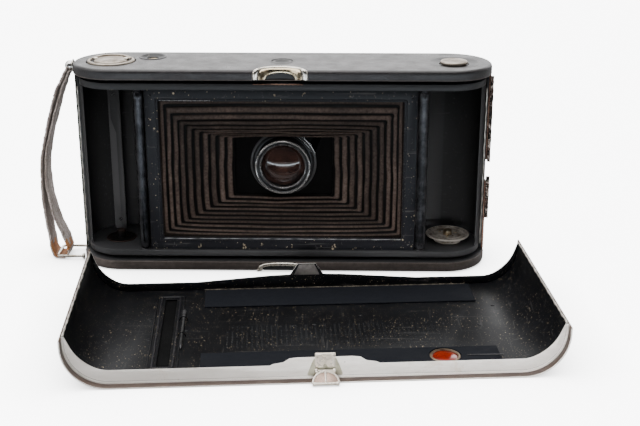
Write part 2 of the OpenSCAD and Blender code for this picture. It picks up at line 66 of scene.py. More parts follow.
class Nodes:
    """Builds one procedural material on the object's own coordinates."""

    def __init__(self, name):
        self.material = bpy.data.materials.new(name)
        self.material.use_nodes = True
        self.tree = self.material.node_tree
        self.shader = self.tree.nodes["Principled BSDF"]
        self.where = self.tree.nodes.new("ShaderNodeTexCoord").outputs["Object"]

    def add(self, kind, **values):
        node = self.tree.nodes.new(kind)
        for key, value in values.items():
            setattr(node, key, value)
        return node

    def link(self, source, target):
        self.tree.links.new(source, target)

    def feed(self, socket, value):
        """Links an output to a socket, or sets the socket to a number or a colour."""
        if isinstance(value, bpy.types.NodeSocket):
            self.link(value, socket)
        else:
            socket.default_value = (*value, 1) if isinstance(value, tuple) else value

    def stretch(self, scale):
        """The coordinates, stretched along the three axes."""
        mapping = self.add("ShaderNodeMapping")
        mapping.inputs["Scale"].default_value = scale
        self.link(self.where, mapping.inputs["Vector"])
        return mapping.outputs["Vector"]

    def noise(self, scale, detail, rough, warp=0.0, vector=None):
        node = self.add("ShaderNodeTexNoise")
        for socket, value in (("Scale", scale), ("Detail", detail), ("Roughness", rough),
                ("Distortion", warp)):
            node.inputs[socket].default_value = value
        self.link(vector or self.where, node.inputs["Vector"])
        return node.outputs["Fac"]

    def cells(self, scale, feature="DISTANCE_TO_EDGE"):
        node = self.add("ShaderNodeTexVoronoi", feature=feature)
        node.inputs["Scale"].default_value = scale
        self.link(self.where, node.inputs["Vector"])
        return node.outputs["Distance"]

    def ramp(self, factor, stops):
        """A colour or grey ramp. stops are (place, value), where a value is a grey or a colour."""
        node = self.add("ShaderNodeValToRGB")
        ramp = node.color_ramp
        while len(ramp.elements) < len(stops):
            ramp.elements.new(0.5)
        for element, (place, value) in zip(ramp.elements, stops):
            element.position = place
            grey = not isinstance(value, tuple)
            element.color = (value, value, value, 1) if grey else (*value, 1)
        self.link(factor, node.inputs["Fac"])
        return node.outputs["Color"]

    def mix(self, factor, a, b):
        node = self.add("ShaderNodeMix", data_type="RGBA")
        for socket, value in ((node.inputs[0], factor), (node.inputs[6], a), (node.inputs[7], b)):
            self.feed(socket, value)
        return node.outputs[2]

    def math(self, how, a, b=0, c=0):
        node = self.add("ShaderNodeMath", operation=how)
        for socket, value in zip(node.inputs, (a, b, c)):
            self.feed(socket, value)
        return node.outputs[0]

    def times(self, a, b):
        return self.math("MULTIPLY", a, b)

    def rise(self, factor, low, high):
        """0 below low and 1 above high."""
        return self.ramp(factor, [(low, 0.0), (high, 1.0)])

    def spots(self, scale, full, gone):
        """Round spots: 1 out to full and 0 from gone."""
        return self.ramp(self.cells(scale, "F1"), [(0.0, 1.0), (full, 1.0), (gone, 0.0)])

    def edges(self, low, high):
        """1 on convex edges and 0 on flats, from the pointiness of the mesh."""
        geometry = self.add("ShaderNodeNewGeometry")
        return self.rise(geometry.outputs["Pointiness"], low, high)

    def axis(self, name):
        """One of the object's coordinates in metres."""
        split = self.add("ShaderNodeSeparateXYZ")
        self.link(self.where, split.inputs[0])
        return split.outputs[name]

    def colour(self, value):
        self.put("Base Color", value)

    def rough(self, factor, low, smooth, high, dull):
        """Roughness from smooth, where the factor is low, to dull, where it is high."""
        self.put("Roughness", self.ramp(factor, [(low, smooth), (high, dull)]))

    def gloss(self, value):
        self.put("Specular IOR Level", value)

    def put(self, socket, value):
        self.feed(self.shader.inputs[socket], value)

    def bump(self, height, strength, distance):
        node = self.add("ShaderNodeBump")
        node.inputs["Strength"].default_value = strength
        node.inputs["Distance"].default_value = distance
        self.link(height, node.inputs["Height"])
        before = self.shader.inputs["Normal"]
        if before.is_linked:
            self.link(before.links[0].from_socket, node.inputs["Normal"])
        self.link(node.outputs["Normal"], before)


# ---------------------------------------------------------------- materials

def leather(name, base, worn, wear_low=0.5, wear_high=0.62, rough=0.42, grain=1500):
    """Grained leather cloth: pebbles, creases, dull worn patches and rubbed edges."""
    m = Nodes(name)
    pebbles = m.cells(grain, "F1")
    creases = m.cells(grain * 0.45)
    patches = m.noise(28, 6, 0.62)
    rubbed = m.rise(patches, wear_low, wear_high)
    fine = m.noise(420, 5, 0.7)
    edge = m.edges(0.505, 0.56)
    amount = m.math("MINIMUM", m.math("ADD", m.times(rubbed, 0.35), m.times(edge, 0.8)), 1)
    amount = m.times(amount, m.ramp(fine, [(0.3, 0.35), (0.65, 1)]))
    m.colour(m.mix(amount, base, worn))
    m.rough(m.noise(90, 5, 0.6), 0.3, rough - 0.07, 0.7, rough + 0.12)
    m.gloss(0.5)
    m.bump(m.ramp(pebbles, [(0, 1), (0.8, 0)]), 0.5, 0.00012)
    m.bump(m.rise(creases, 0, 0.12), 0.25, 0.0001)
    m.bump(patches, 0.2, 0.0005)
    return m.material


def enamel(name, base, rough=0.36, chips=0, scuff=0.25, chip_scale=190, gloss=0.3, dusty=0.12):
    """Black enamel with hairline scratches, dust, dull scuffs and cream chips down to the metal."""
    m = Nodes(name)
    cloud = m.noise(22, 6, 0.6)
    dust = m.rise(m.noise(900, 3, 0.7), 0.6, 0.78)
    hair = m.rise(m.noise(60, 2, 0.5, 0.3, m.stretch((1, 22, 9))), 0.62, 0.7)
    lift = m.math("ADD", m.times(m.rise(cloud, 0.45, 0.75), scuff), m.times(hair, 0.10))
    lift = m.math("ADD", lift, m.times(dust, dusty))
    coat = m.mix(lift, base, (0.11, 0.11, 0.115))
    edge = m.edges(0.51, 0.58)
    coat = m.mix(m.times(edge, 0.4), coat, (0.16, 0.16, 0.165))
    if chips:
        spot = m.spots(chip_scale, 0.11, 0.16)
        where = m.rise(m.noise(34, 3, 0.6), 0.62 - chips, 0.70 - chips)
        chip = m.times(spot, where)
        coat = m.mix(chip, coat, (0.42, 0.36, 0.26))
    m.colour(coat)
    m.rough(cloud, 0.3, rough - 0.06, 0.75, rough + 0.16)
    m.gloss(gloss)
    m.bump(m.noise(700, 4, 0.6), 0.12, 0.0001)
    m.bump(hair, -0.1, 0.00005)
    return m.material


def worn_metal(name, bright, dull, rough=0.28, tarnish=0.45, metallic=1, stretch=(1, 1, 1)):
    """Plated metal with tarnish, pits, hairlines and brighter rubbed edges."""
    m = Nodes(name)
    blotch = m.noise(130, 6, 0.65)
    hair = m.noise(300, 3, 0.6, 0, m.stretch(stretch))
    amount = m.ramp(blotch, [(tarnish - 0.1, 1), (tarnish + 0.14, 0)])
    edge = m.edges(0.51, 0.57)
    keep = m.math("SUBTRACT", amount, m.times(edge, 0.7))
    m.colour(m.mix(m.math("MAXIMUM", keep, 0), bright, dull))
    m.put("Metallic", metallic)
    m.rough(hair, 0.3, rough - 0.08, 0.7, rough + 0.16)
    m.bump(hair, 0.08, 0.00006)
    m.bump(m.rise(m.noise(800, 2, 0.5), 0.3, 0.42), 0.1, 0.00004)
    return m.material


def glass(name, tint, rough=0.03, ior=1.52):
    """Clear glass with faint dust and smears in its gloss."""
    m = Nodes(name)
    m.colour(tint)
    m.put("Transmission Weight", 1)
    m.put("IOR", ior)
    m.rough(m.noise(160, 5, 0.7), 0.45, rough, 0.8, rough + 0.12)
    m.put("Coat Weight", 0.4)
    m.bump(m.noise(60, 2, 0.5), 0.02, 0.0001)
    return m.material


def attribute_cloth(name):
    """The bellows' leather cloth: brown-grey ribs in painted light over folds in near-black painted shade."""
    m = Nodes(name)
    crest = m.add("ShaderNodeAttribute", attribute_name="crest").outputs["Fac"]
    patch = m.noise(60, 6, 0.62)
    fine = m.noise(700, 4, 0.7)
    # worn here is painted light from the crest attribute on the ribs; where it is low, the near-black colour
    # is painted shade in the folds.
    worn = m.times(crest, m.ramp(patch, [(0.3, 0.45), (0.7, 1)]))
    rib = m.mix(m.rise(fine, 0.35, 0.7), (0.07, 0.049, 0.04), (0.15, 0.11, 0.092))
    base = m.mix(m.math("MINIMUM", worn, 1), (0.0018, 0.0015, 0.0014), rib)
    dust = m.ramp(m.noise(1300, 2, 0.6), [(0.7, 0), (0.8, 0.5)])
    m.colour(m.mix(m.times(dust, crest), base, (0.2, 0.17, 0.15)))
    m.rough(patch, 0.3, 0.55, 0.75, 0.72)
    m.gloss(0.16)
    m.bump(m.ramp(m.cells(1700, "F1"), [(0, 1), (0.8, 0)]), 0.35, 0.00008)
    m.bump(m.noise(160, 4, 0.6), 0.25, 0.0003)
    return m.material


def speckled_enamel(name, base, speck, amount, rough, speck_scale, streak):
    """Black enamel with cream specks of two sizes, hairlines and a bluish bloom."""
    m = Nodes(name)
    cloud = m.noise(16, 6, 0.62)
    bloom = m.rise(cloud, 0.42, 0.78)
    coat = m.mix(m.times(bloom, 0.5), base, tuple(min(1, c * 2.6 + 0.004) for c in base))
    for scale, low, high, size in ((speck_scale, 0.60, 0.72, 0.13), (speck_scale * 2.3, 0.5, 0.64, 0.12)):
        spot = m.spots(scale, size * 0.7, size)
        where = m.rise(m.noise(scale * 0.13, 4, 0.65, 0.4), low - amount, high - amount)
        coat = m.mix(m.times(spot, where), coat, speck)
    hair = m.rise(m.noise(55, 2, 0.4, 0.6, m.stretch((0.6, 16, 9))), 0.66, 0.71)
    hair2 = m.rise(m.noise(48, 2, 0.4, 1.2, m.stretch((14, 0.8, 9))), 0.68, 0.72)
    coat = m.mix(m.times(m.math("MAXIMUM", hair, hair2), streak), coat, (0.2, 0.19, 0.18))
    m.colour(coat)
    m.rough(cloud, 0.3, rough - 0.05, 0.75, rough + 0.14)
    m.gloss(0.22)
    m.bump(m.noise(420, 4, 0.6), 0.14, 0.00012)
    m.bump(m.noise(34, 3, 0.5), 0.1, 0.0006)
    return m.material


def felt(name, base):
    """Short black nap with lint."""
    m = Nodes(name)
    lint = m.rise(m.noise(1500, 3, 0.8), 0.62, 0.8)
    m.colour(m.mix(m.times(lint, 0.35), base, (0.04, 0.04, 0.043)))
    m.rough(m.noise(60, 4, 0.6), 0.3, 0.72, 0.7, 0.9)
    m.gloss(0.1)
    m.bump(m.noise(1900, 4, 0.8), 0.5, 0.00012)
    return m.material


def deep_glass(name):
    """Old cemented glass: clear gloss over a mottled dark brown depth."""
    m = Nodes(name)
    m.colour(m.mix(m.rise(m.noise(90, 5, 0.6), 0.38, 0.66), (0.018, 0.011, 0.0105), (0.085, 0.042, 0.033)))
    m.put("Transmission Weight", 0.45)
    m.put("IOR", 1.7)
    m.rough(m.noise(160, 5, 0.7), 0.45, 0.05, 0.8, 0.16)
    m.put("Coat Weight", 0.4)
    m.bump(m.noise(60, 2, 0.5), 0.02, 0.0001)
    return m.material


def torn(name):
    """The raw edge of torn leather: black grain skin, rust fibres and cream lining in patches."""
    m = Nodes(name)
    patch = m.noise(420, 5, 0.75)
    tone = m.mix(m.rise(patch, 0.5, 0.57), (0.006, 0.005, 0.005), (0.09, 0.055, 0.047))
    tone = m.mix(m.rise(m.noise(560, 4, 0.7, 0.9), 0.56, 0.62), tone, (0.7, 0.62, 0.56))
    m.colour(tone)
    m.rough(patch, 0.3, 0.6, 0.7, 0.85)
    m.gloss(0.2)
    m.bump(patch, 0.6, 0.0004)
    return m.material


def tinned(name):
    """Dull tinned metal: grey scuffs along it, rust spots, brown stains, fine scratches and painted shade
    towards its -X end.
    """
    m = Nodes(name)
    scuff = m.rise(m.noise(90, 6, 0.7, 0.4, m.stretch((0.5, 3, 3))), 0.4, 0.72)
    tone = m.mix(m.times(scuff, 0.6), (1, 0.955, 0.9), (0.7, 0.64, 0.58))
    stain = m.rise(m.noise(38, 6, 0.75, 0.8), 0.6, 0.74)
    tone = m.mix(m.times(stain, 0.45), tone, (0.62, 0.42, 0.25))
    spot = m.spots(260, 0.08, 0.14)
    tone = m.mix(m.times(spot, m.ramp(m.noise(30, 4, 0.6), [(0.52, 0), (0.64, 0.8)])), tone,
        (0.2, 0.12, 0.07))
    hair = m.rise(m.noise(300, 3, 0.6, 0, m.stretch((1, 8, 8))), 0.6, 0.68)
    # Painted shade: along darkens the metal towards the object's -X end.
    along = m.ramp(m.math("MULTIPLY_ADD", m.axis("X"), 4, 0.5), [(0, 0.62), (0.36, 0.5), (0.62, 0)])
    tone = m.mix(along, tone, (0.17, 0.155, 0.14))
    m.colour(m.mix(m.times(hair, 0.3), tone, (0.5, 0.46, 0.42)))
    m.rough(scuff, 0.2, 0.4, 0.8, 0.58)
    m.gloss(0.4)
    m.bump(hair, -0.12, 0.00005)
    m.bump(m.noise(120, 5, 0.6), 0.15, 0.0002)
    return m.material


def ruby(name, base, depth):
    """Deep orange-red glass, mottled, with a soft gloss."""
    m = Nodes(name)
    m.colour(m.mix(m.rise(m.noise(120, 4, 0.6), 0.35, 0.7), base, depth))
    m.rough(m.noise(240, 3, 0.6), 0.4, 0.12, 0.8, 0.28)
    m.put("Coat Weight", 0.6)
    m.bump(m.noise(70, 2, 0.5), 0.08, 0.0002)
    return m.material


def strand(name, base, dark, fibre, rough=0.6):
    """Old strap leather: cracked skin, rubbed ridges and fibres along it."""
    m = Nodes(name)
    crack = m.rise(m.cells(420), 0, 0.08)
    along = m.noise(240, 5, 0.65, 0.3, m.stretch((1, 3, 0.25)))
    tone = m.mix(m.rise(along, 0.35, 0.68), dark, base)
    tone = m.mix(m.times(m.rise(m.noise(500, 4, 0.7), 0.55, 0.75), 0.5), tone, fibre)
    m.colour(m.mix(crack, dark, tone))
    m.rough(m.noise(90, 4, 0.6), 0.3, rough - 0.1, 0.7, rough + 0.15)
    m.gloss(0.35)
    m.bump(crack, 0.3, 0.00012)
    m.bump(along, 0.3, 0.0002)
    return m.material


RECIPES = {
    "black_leather": (leather, (0.0085, 0.008, 0.008), (0.06, 0.056, 0.054)),
    "top_leather": (leather, (0.009, 0.0072, 0.0074), (0.038, 0.032, 0.032), 0.5, 0.66, 0.34, 1900),
    "worn_leather": (leather, (0.022, 0.021, 0.021), (0.09, 0.086, 0.084), 0.46, 0.6, 0.4, 1500),
    "rim_dark": (leather, (0.004, 0.0028, 0.003), (0.03, 0.024, 0.025), 0.5, 0.7, 0.42, 1500),
    "rim_leather": (leather, (0.03, 0.022, 0.02), (0.1, 0.082, 0.073), 0.42, 0.62, 0.42, 1100),
    "back_leather": (leather, (0.045, 0.027, 0.02), (0.16, 0.11, 0.08), 0.44, 0.6),
    "enamel": (enamel, (0.0035, 0.0036, 0.0044), 0.36, 0, 0.1, 190, 0.22, 0.08),
    "chamber": (enamel, (0.0006, 0.0005, 0.0006), 0.5, 0, 0, 190, 0.05, 0),
    "inside": (enamel, (0.0025, 0.0025, 0.0028), 0.4, 0, 0.06),
    "gate": (speckled_enamel, (0.0078, 0.0082, 0.0105), (0.5, 0.42, 0.3), 0.08, 0.42, 190, 0.2),
    "back_inside": (speckled_enamel, (0.0022, 0.0025, 0.0034), (0.36, 0.29, 0.2), 0.2, 0.4, 420, 0.12),
    "primer": (strand, (0.42, 0.35, 0.24), (0.13, 0.1, 0.07), (0.62, 0.55, 0.42), 0.6),
    "rim_chipped": (speckled_enamel, (0.01, 0.01, 0.012), (0.5, 0.42, 0.32), 0.2, 0.36, 520, 0.3),
    "door_skin": (felt, (0.0012, 0.0012, 0.0013)),
    "old_black": (enamel, (0.012, 0.0115, 0.011), 0.4, 0.03, 0.4, 500),
    "lens_black": (enamel, (0.0055, 0.005, 0.0052), 0.3, 0, 0.15),
    "barrel_brown": (enamel, (0.12, 0.062, 0.046), 0.3, 0, 0.1),
    "nickel": (worn_metal, (0.74, 0.69, 0.61), (0.34, 0.28, 0.2), 0.24),
    "gold_nickel": (worn_metal, (0.66, 0.55, 0.38), (0.26, 0.18, 0.1), 0.26, 0.5),
    "key_metal": (worn_metal, (0.42, 0.37, 0.31), (0.17, 0.13, 0.09), 0.38, 0.5, 0.85),
    "clasp_metal": (worn_metal, (0.93, 0.85, 0.74), (0.5, 0.42, 0.33), 0.26, 0.44, 0.55),
    "clasp_base": (worn_metal, (0.52, 0.49, 0.37), (0.24, 0.22, 0.15), 0.4, 0.5, 0.35),
    "clasp_copper": (worn_metal, (0.42, 0.3, 0.24), (0.2, 0.13, 0.1), 0.3, 0.5, 0.7),
    "bright_edge": (worn_metal, (0.8, 0.78, 0.76), (0.32, 0.3, 0.29), 0.14, 0.36),
    "worn_edge": (worn_metal, (0.62, 0.58, 0.52), (0.035, 0.032, 0.03), 0.4, 0.56, 0.7),
    "cell_ring": (worn_metal, (0.3, 0.29, 0.29), (0.06, 0.055, 0.055), 0.22, 0.48, 0.8),
    "flange_metal": (tinned,),
    "tongue_metal": (worn_metal, (0.2, 0.185, 0.175), (0.06, 0.053, 0.05), 0.4, 0.5, 0.3, (1, 1, 9)),
    "lip_metal": (worn_metal, (0.62, 0.6, 0.58), (0.2, 0.19, 0.18), 0.16, 0.48, 0.8),
    "rubbed_brown": (strand, (0.36, 0.2, 0.13), (0.1, 0.05, 0.035), (0.5, 0.36, 0.26), 0.6),
    "seam_cream": (strand, (0.42, 0.36, 0.27), (0.05, 0.045, 0.04), (0.5, 0.44, 0.36), 0.6),
    "pressed": (speckled_enamel, (0.004, 0.0045, 0.0055), (0.1, 0.09, 0.075), 0.1, 0.42, 500, 0.1),
    "solder": (worn_metal, (0.48, 0.43, 0.35), (0.03, 0.028, 0.026), 0.5, 0.6, 0.4),
    "roller_steel": (worn_metal, (0.055, 0.055, 0.06), (0.02, 0.02, 0.022), 0.26, 0.5, 1, (8, 8, 0.6)),
    "steel": (worn_metal, (0.2, 0.2, 0.205), (0.05, 0.05, 0.052), 0.35, 0.5, 0.9, (8, 8, 0.6)),
    "dark_steel": (worn_metal, (0.07, 0.07, 0.076), (0.015, 0.015, 0.017), 0.3, 0.52, 0.7, (8, 8, 0.6)),
    "spring_metal": (enamel, (0.006, 0.005, 0.005), 0.5, 0, 0.02, 190, 0.1, 0.02),
    "spool_nickel": (worn_metal, (0.6, 0.55, 0.49), (0.17, 0.14, 0.11), 0.34, 0.5, 0.6),
    "brass": (worn_metal, (0.5, 0.41, 0.28), (0.2, 0.14, 0.09), 0.32),
    "old_brass": (worn_metal, (0.05, 0.03, 0.024), (0.006, 0.005, 0.005), 0.36, 0.62, 0.6),
    "ring_brass": (worn_metal, (0.24, 0.17, 0.11), (0.04, 0.03, 0.024), 0.34, 0.5, 0.8),
    "raw_edge": (strand, (0.5, 0.3, 0.22), (0.14, 0.07, 0.05), (0.62, 0.48, 0.38), 0.7),
    "speckled": (speckled_enamel, (0.016, 0.014, 0.013), (0.6, 0.55, 0.5), 0.24, 0.5, 420, 0.3),
    "strap_skin": (strand, (0.62, 0.545, 0.51), (0.19, 0.15, 0.13), (0.7, 0.64, 0.6)),
    "strap_flesh": (strand, (0.6, 0.525, 0.49), (0.22, 0.175, 0.155), (0.66, 0.6, 0.57)),
    "strap_tan": (strand, (0.6, 0.26, 0.09), (0.24, 0.1, 0.04), (0.8, 0.5, 0.28)),
    "sill_edge": (worn_metal, (0.42, 0.42, 0.43), (0.08, 0.08, 0.085), 0.45, 0.5, 0.3),
    "strap_lining": (strand, (0.42, 0.38, 0.34), (0.2, 0.16, 0.13), (0.55, 0.5, 0.45), 0.65),
    "thread": (strand, (0.3, 0.24, 0.18), (0.1, 0.07, 0.05), (0.45, 0.4, 0.33), 0.8),
    "felt": (felt, (0.0032, 0.003, 0.003)),
    "pad_felt": (felt, (0.0075, 0.0085, 0.0115)),
    "ruby": (ruby, (0.3, 0.018, 0.003), (0.12, 0.004, 0.001)),
    "ruby_backing": (ruby, (0.4, 0.06, 0.02), (0.2, 0.02, 0.01)),
    "brown_glass": (deep_glass,),
    "torn": (torn,),
    "lens_glass": (glass, (0.9, 0.86, 0.84), 0.02, 1.7),
    "bellows_cloth": (attribute_cloth,),
}
MATERIALS = {name: make(name, *values) for name, (make, *values) in RECIPES.items()}


# ---------------------------------------------------------------- mesh helpers

def add_object(name, data):
    piece = bpy.data.objects.new(name, data)
    bpy.context.scene.collection.objects.link(piece)
    return piece


def new_object(name, bm, material, smooth=True):
    mesh = bpy.data.meshes.new(name)
    bmesh.ops.recalc_face_normals(bm, faces=bm.faces)
    bm.to_mesh(mesh)
    bm.free()
    mesh.materials.append(MATERIALS[material])
    if smooth:
        mesh.shade_smooth()
    return add_object(name, mesh)


@contextmanager
def edited(mesh):
    """The mesh as a bmesh, written back at the end."""
    bm = bmesh.new()
    bm.from_mesh(mesh)
    yield bm
    bm.to_mesh(mesh)
    bm.free()


def smooth_with_edges(piece, degrees):
    piece.data.shade_smooth()
    piece.data.set_sharp_from_angle(angle=radians(degrees))


def apply_modifiers(piece):
    bpy.context.view_layer.update()
    graph = bpy.context.evaluated_depsgraph_get()
    mesh = bpy.data.meshes.new_from_object(piece.evaluated_get(graph))
    piece.modifiers.clear()
    piece.data = mesh


def break_edges(piece, width, degrees):
    """Bevels the edges that are sharper than an angle. width is in millimetres."""
    bevel = piece.modifiers.new("edges", "BEVEL")
    bevel.width = width * MM
    bevel.segments = 2
    bevel.limit_method = "ANGLE"
    bevel.angle_limit = radians(degrees)
    apply_modifiers(piece)


BODY_OF = {node: body for body, nodes in frame["record"]["behaviour"]["bodies"].items() for node in nodes}


def place(piece, node):
    """Puts a piece in a node's stead, on that node's body."""
    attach(piece, BODY_OF[node])
    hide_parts(node)
    return piece


def refine(node, material, width):
    """A copy of a CAD node with its facets joined up and its edges broken, in the node's own place."""
    piece = add_object(node + "_fine", frame["nodes"][node].data.copy())
    with edited(piece.data) as bm:
        bmesh.ops.remove_doubles(bm, verts=bm.verts, dist=1e-6)
        bmesh.ops.dissolve_limit(bm, angle_limit=radians(0.5), verts=bm.verts, edges=bm.edges)
    break_edges(piece, width, 32)
    piece.data.materials.clear()
    piece.data.materials.append(MATERIALS[material])
    for face in piece.data.polygons:
        face.material_index = 0
    smooth_with_edges(piece, 40)
    return place(piece, node)


def dress(material, width, *nodes):
    """Gives CAD nodes fine edges and a material."""
    for node in nodes:
        refine(node, material, width)


DETAILS = {}


def detail(piece, body, slot):
    """A small piece that the CAD leaves to the looks. It is joined to its neighbours at the end."""
    DETAILS.setdefault((body, slot), []).append(piece)
    return piece


def join_details():
    """Joins the small pieces of each body and slot into one, keeping their materials."""
    for (body, slot), pieces in DETAILS.items():
        bm = bmesh.new()
        materials = []
        for piece in pieces:
            mesh = piece.data
            mesh.transform(piece.matrix_world)
            index = []
            for material in mesh.materials:
                if material not in materials:
                    materials.append(material)
                index.append(materials.index(material))
            for face in mesh.polygons:
                face.material_index = index[face.material_index]
            bm.from_mesh(mesh)
            bpy.data.objects.remove(piece)
        mesh = bpy.data.meshes.new(body + "_" + slot + "_details")
        bm.to_mesh(mesh)
        bm.free()
        for material in materials:
            mesh.materials.append(material)
        joined = add_object(mesh.name, mesh)
        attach(joined, body)


def rings_mesh(name, rings, material, capped=True, smooth=True):
    """A skin over a row of point rings that all have the same number of points."""
    bm = bmesh.new()
    rows = [[bm.verts.new(point) for point in ring] for ring in rings]
    count = len(rows[0])
    for low, high in zip(rows, rows[1:]):
        for i in range(count):
            j = (i + 1) % count
            bm.faces.new((low[i], low[j], high[j], high[i]))
    if capped:
        bm.faces.new(rows[0][::-1])
        bm.faces.new(rows[-1])
    return new_object(name, bm, material, smooth)


def angles(total, count, first=0, last=None):
    """The angles from step first to step last, where count steps make total."""
    return [total * k / count for k in range(first, (count if last is None else last) + 1)]


def circle(count):
    return angles(2 * pi, count, 0, count - 1)


def raised(base, profile):
    return [(radius, base + along) for radius, along in profile]


def lathe(name, profile, centre, axis, material, count=96, closed=False):
    """Turns (radius, along) points, in millimetres, about an axis through centre."""
    turn = Vector(UP).rotation_difference(Vector(axis)).to_matrix()
    bm = bmesh.new()
    rows = []
    for radius, along in profile:
        if radius == 0:
            rows.append([bm.verts.new(turn @ Vector((0, 0, along * MM)) + Vector(centre))])
            continue
        ring = (Vector((radius * cos(angle), radius * sin(angle), along)) * MM for angle in circle(count))
        rows.append([bm.verts.new(turn @ point + Vector(centre)) for point in ring])
    pairs = list(zip(rows, rows[1:])) + ([(rows[-1], rows[0])] if closed else [])
    for low, high in pairs:
        for k in range(count):
            j = (k + 1) % count
            corners = low[k % len(low)], low[j % len(low)], high[j % len(high)], high[k % len(high)]
            bm.faces.new(list(dict.fromkeys(corners)))  # two corners are one where the profile meets the axis
    piece = new_object(name, bm, material)
    piece.data.set_sharp_from_angle(angle=radians(50))
    return piece


def rounded(points, radius, steps=4):
    """An open or closed outline with its corners turned into small arcs. Points are 2D, in millimetres."""
    out = []
    count = len(points)
    for i, point in enumerate(points):
        p = Vector(point)
        before, after = Vector(points[i - 1]) - p, Vector(points[(i + 1) % count]) - p
        reach = min(radius, before.length * 0.45, after.length * 0.45)
        start, end = p + before.normalized() * reach, p + after.normalized() * reach
        for k in range(steps + 1):
            t = k / steps
            out.append(((1 - t) ** 2) * start + 2 * t * (1 - t) * p + t * t * end)
    return out


def upright(x, y, z, sign=-1):
    """The to_world of a plate in the X-Z plane, which grows rearward, or forward where sign is 1."""
    return lambda u, v, w: Vector((x + u, y + sign * w, z + v)) * MM


def rectangle(x0, z0, x1, z1):
    return [(x0, z0), (x1, z0), (x1, z1), (x0, z1)]


def plate(name, outline, thickness, to_world, material, edge):
    """A flat plate from a closed 2D outline, with broken edges. to_world maps (u, v, w) in millimetres."""
    bm = bmesh.new()
    low = [bm.verts.new(to_world(u, v, 0)) for u, v in outline]
    high = [bm.verts.new(to_world(u, v, thickness)) for u, v in outline]
    bm.faces.new(low)
    bm.faces.new(high)
    for i in range(len(outline)):
        j = (i + 1) % len(outline)
        bm.faces.new((low[i], low[j], high[j], high[i]))
    piece = new_object(name, bm, material)
    break_edges(piece, edge, 50)
    smooth_with_edges(piece, 60)
    return piece


def tube(name, path, radius, material, count=12, closed=False):
    """A round wire along points in metres. radius is one number, or one per point, in millimetres."""
    points = [Vector(p) for p in path]
    rings = []
    normal = None
    for i, point in enumerate(points):
        if closed:
            along = points[(i + 1) % len(points)] - points[i - 1]
        else:
            along = points[min(i + 1, len(points) - 1)] - points[max(i - 1, 0)]
        along.normalize()
        if normal is None:
            normal = along.orthogonal().normalized()
        normal = (normal - along * normal.dot(along)).normalized()
        side = along.cross(normal)
        r = (radius[i] if isinstance(radius, (list, tuple)) else radius) * MM
        rings.append([point + (normal * cos(a) + side * sin(a)) * r for a in circle(count)])
    if not closed:
        return rings_mesh(name, rings, material)
    piece = rings_mesh(name, rings + rings[:1], material, capped=False)
    with edited(piece.data) as bm:
        bmesh.ops.remove_doubles(bm, verts=bm.verts, dist=1e-6)
    return piece


def curve(points, steps=8):
    """A smooth Catmull-Rom line through points of any size."""
    vectors = [Vector(p) for p in points]
    out = []
    for i in range(len(vectors) - 1):
        a, b, c, d = (vectors[max(i - 1, 0)], vectors[i], vectors[i + 1],
            vectors[min(i + 2, len(vectors) - 1)])
        for k in range(steps):
            t = k / steps
            out.append(0.5 * (2 * b + (c - a) * t + (2 * a - 5 * b + 4 * c - d) * t * t + (3 * b - a - 3 * c
                + d) * t ** 3))
    out.append(vectors[-1])
    return out


# ---------------------------------------------------------------- places from the frame

def mm_box(node):
    """A node's corners in millimetres."""
    low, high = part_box(node)
    return low / MM, high / MM


def middle(low, high):
    return tuple((a + b) / 2 for a, b in zip(low, high))


def metres(x, y, z):
    return (x * MM, y * MM, z * MM)


def joint(name):
    return next(row for row in frame["record"]["behaviour"]["joints"] if row["name"] == name)


TOP_LOW, TOP_HIGH = mm_box("leather_top")
BOTTOM_HIGH = mm_box("leather_bottom")[1]
END_X = (TOP_HIGH.x - TOP_LOW.x) / 2
DEPTH = TOP_HIGH.y - TOP_LOW.y
HEIGHT = TOP_HIGH.z
MID_Z = HEIGHT / 2
LENS_LOW, LENS_HIGH = mm_box("rear_tube")
LENS = Vector(middle(LENS_LOW, LENS_HIGH))
PLATE_TOP = mm_box("plate_top")[1].z
KEY, KNOB, SOCKET = (Vector(middle(*mm_box(node))[:2]) for node in ("winding_key", "spool_knob",
    "tripod_socket"))


def stadium(inset, z):
    """The body's outline, drawn in by inset, as a ring of points in metres at height z."""
    r = DEPTH / 2 - inset
    flat = END_X - DEPTH / 2
    ring = []
    for side in (1, -1):
        for turn in angles(pi, 28):
            angle = side * pi / 2 - turn
            ring.append(Vector((side * flat + r * cos(angle), r * sin(angle), z)) * MM)
    return ring


def cut(piece, cutters):
    """Takes the cutters out of a piece and deletes them."""
    for cutter in cutters:
        take = piece.modifiers.new("cut", "BOOLEAN")
        take.operation = "DIFFERENCE"
        take.solver = "EXACT"
        take.object = cutter
    apply_modifiers(piece)
    for cutter in cutters:
        bpy.data.objects.remove(cutter)
    smooth_with_edges(piece, 35)


TOP_CUT = (117, 130)  # heights between which a round cutter clears the top cover
BITE = 12.4  # half the width of the bite that a side's edge has round its catch


def top_hole(place_at, radius):
    low, high = TOP_CUT
    return lathe("cutter", [(0, low), (radius, low), (radius, high), (0, high)], metres(*place_at, 0), UP,
        "enamel", 64)


# ---------------------------------------------------------------- body covers

def side_cover(name, z_out, z_in, fillet, material):
    """One side's leather: a flat face and a rolled edge that wraps the rim of the plate inside it."""
    sign = 1 if z_out > z_in else -1
    skin = 0.9
    rings = [stadium(fillet + 1, z_out - sign * skin), stadium(fillet * 0.8, z_out - sign * skin),
        stadium(skin, z_out - sign * (fillet + 0.3)), stadium(skin, z_in), stadium(0.2, z_in),
        stadium(0, z_in + sign * 0.35)]
    for angle in angles(pi / 2, 6):
        rings.append(stadium(fillet * (1 - cos(angle)), z_out - sign * fillet * (1 - sin(angle))))
    rings.append(stadium(fillet + 1, z_out))
    return rings_mesh(name, rings, material)


def catch_cutter(z0, z1):
    arch = [(-BITE, -4)] + [(BITE * cos(a),
        7 * sin(a)) for a in (pi - pi * k / 24 for k in range(25))] + [(BITE, -4)]
    rings = [[Vector((u, -DEPTH / 2 + v, z)) * MM for u, v in arch] for z in (z0, z1)]
    return rings_mesh("cutter", rings, "enamel")


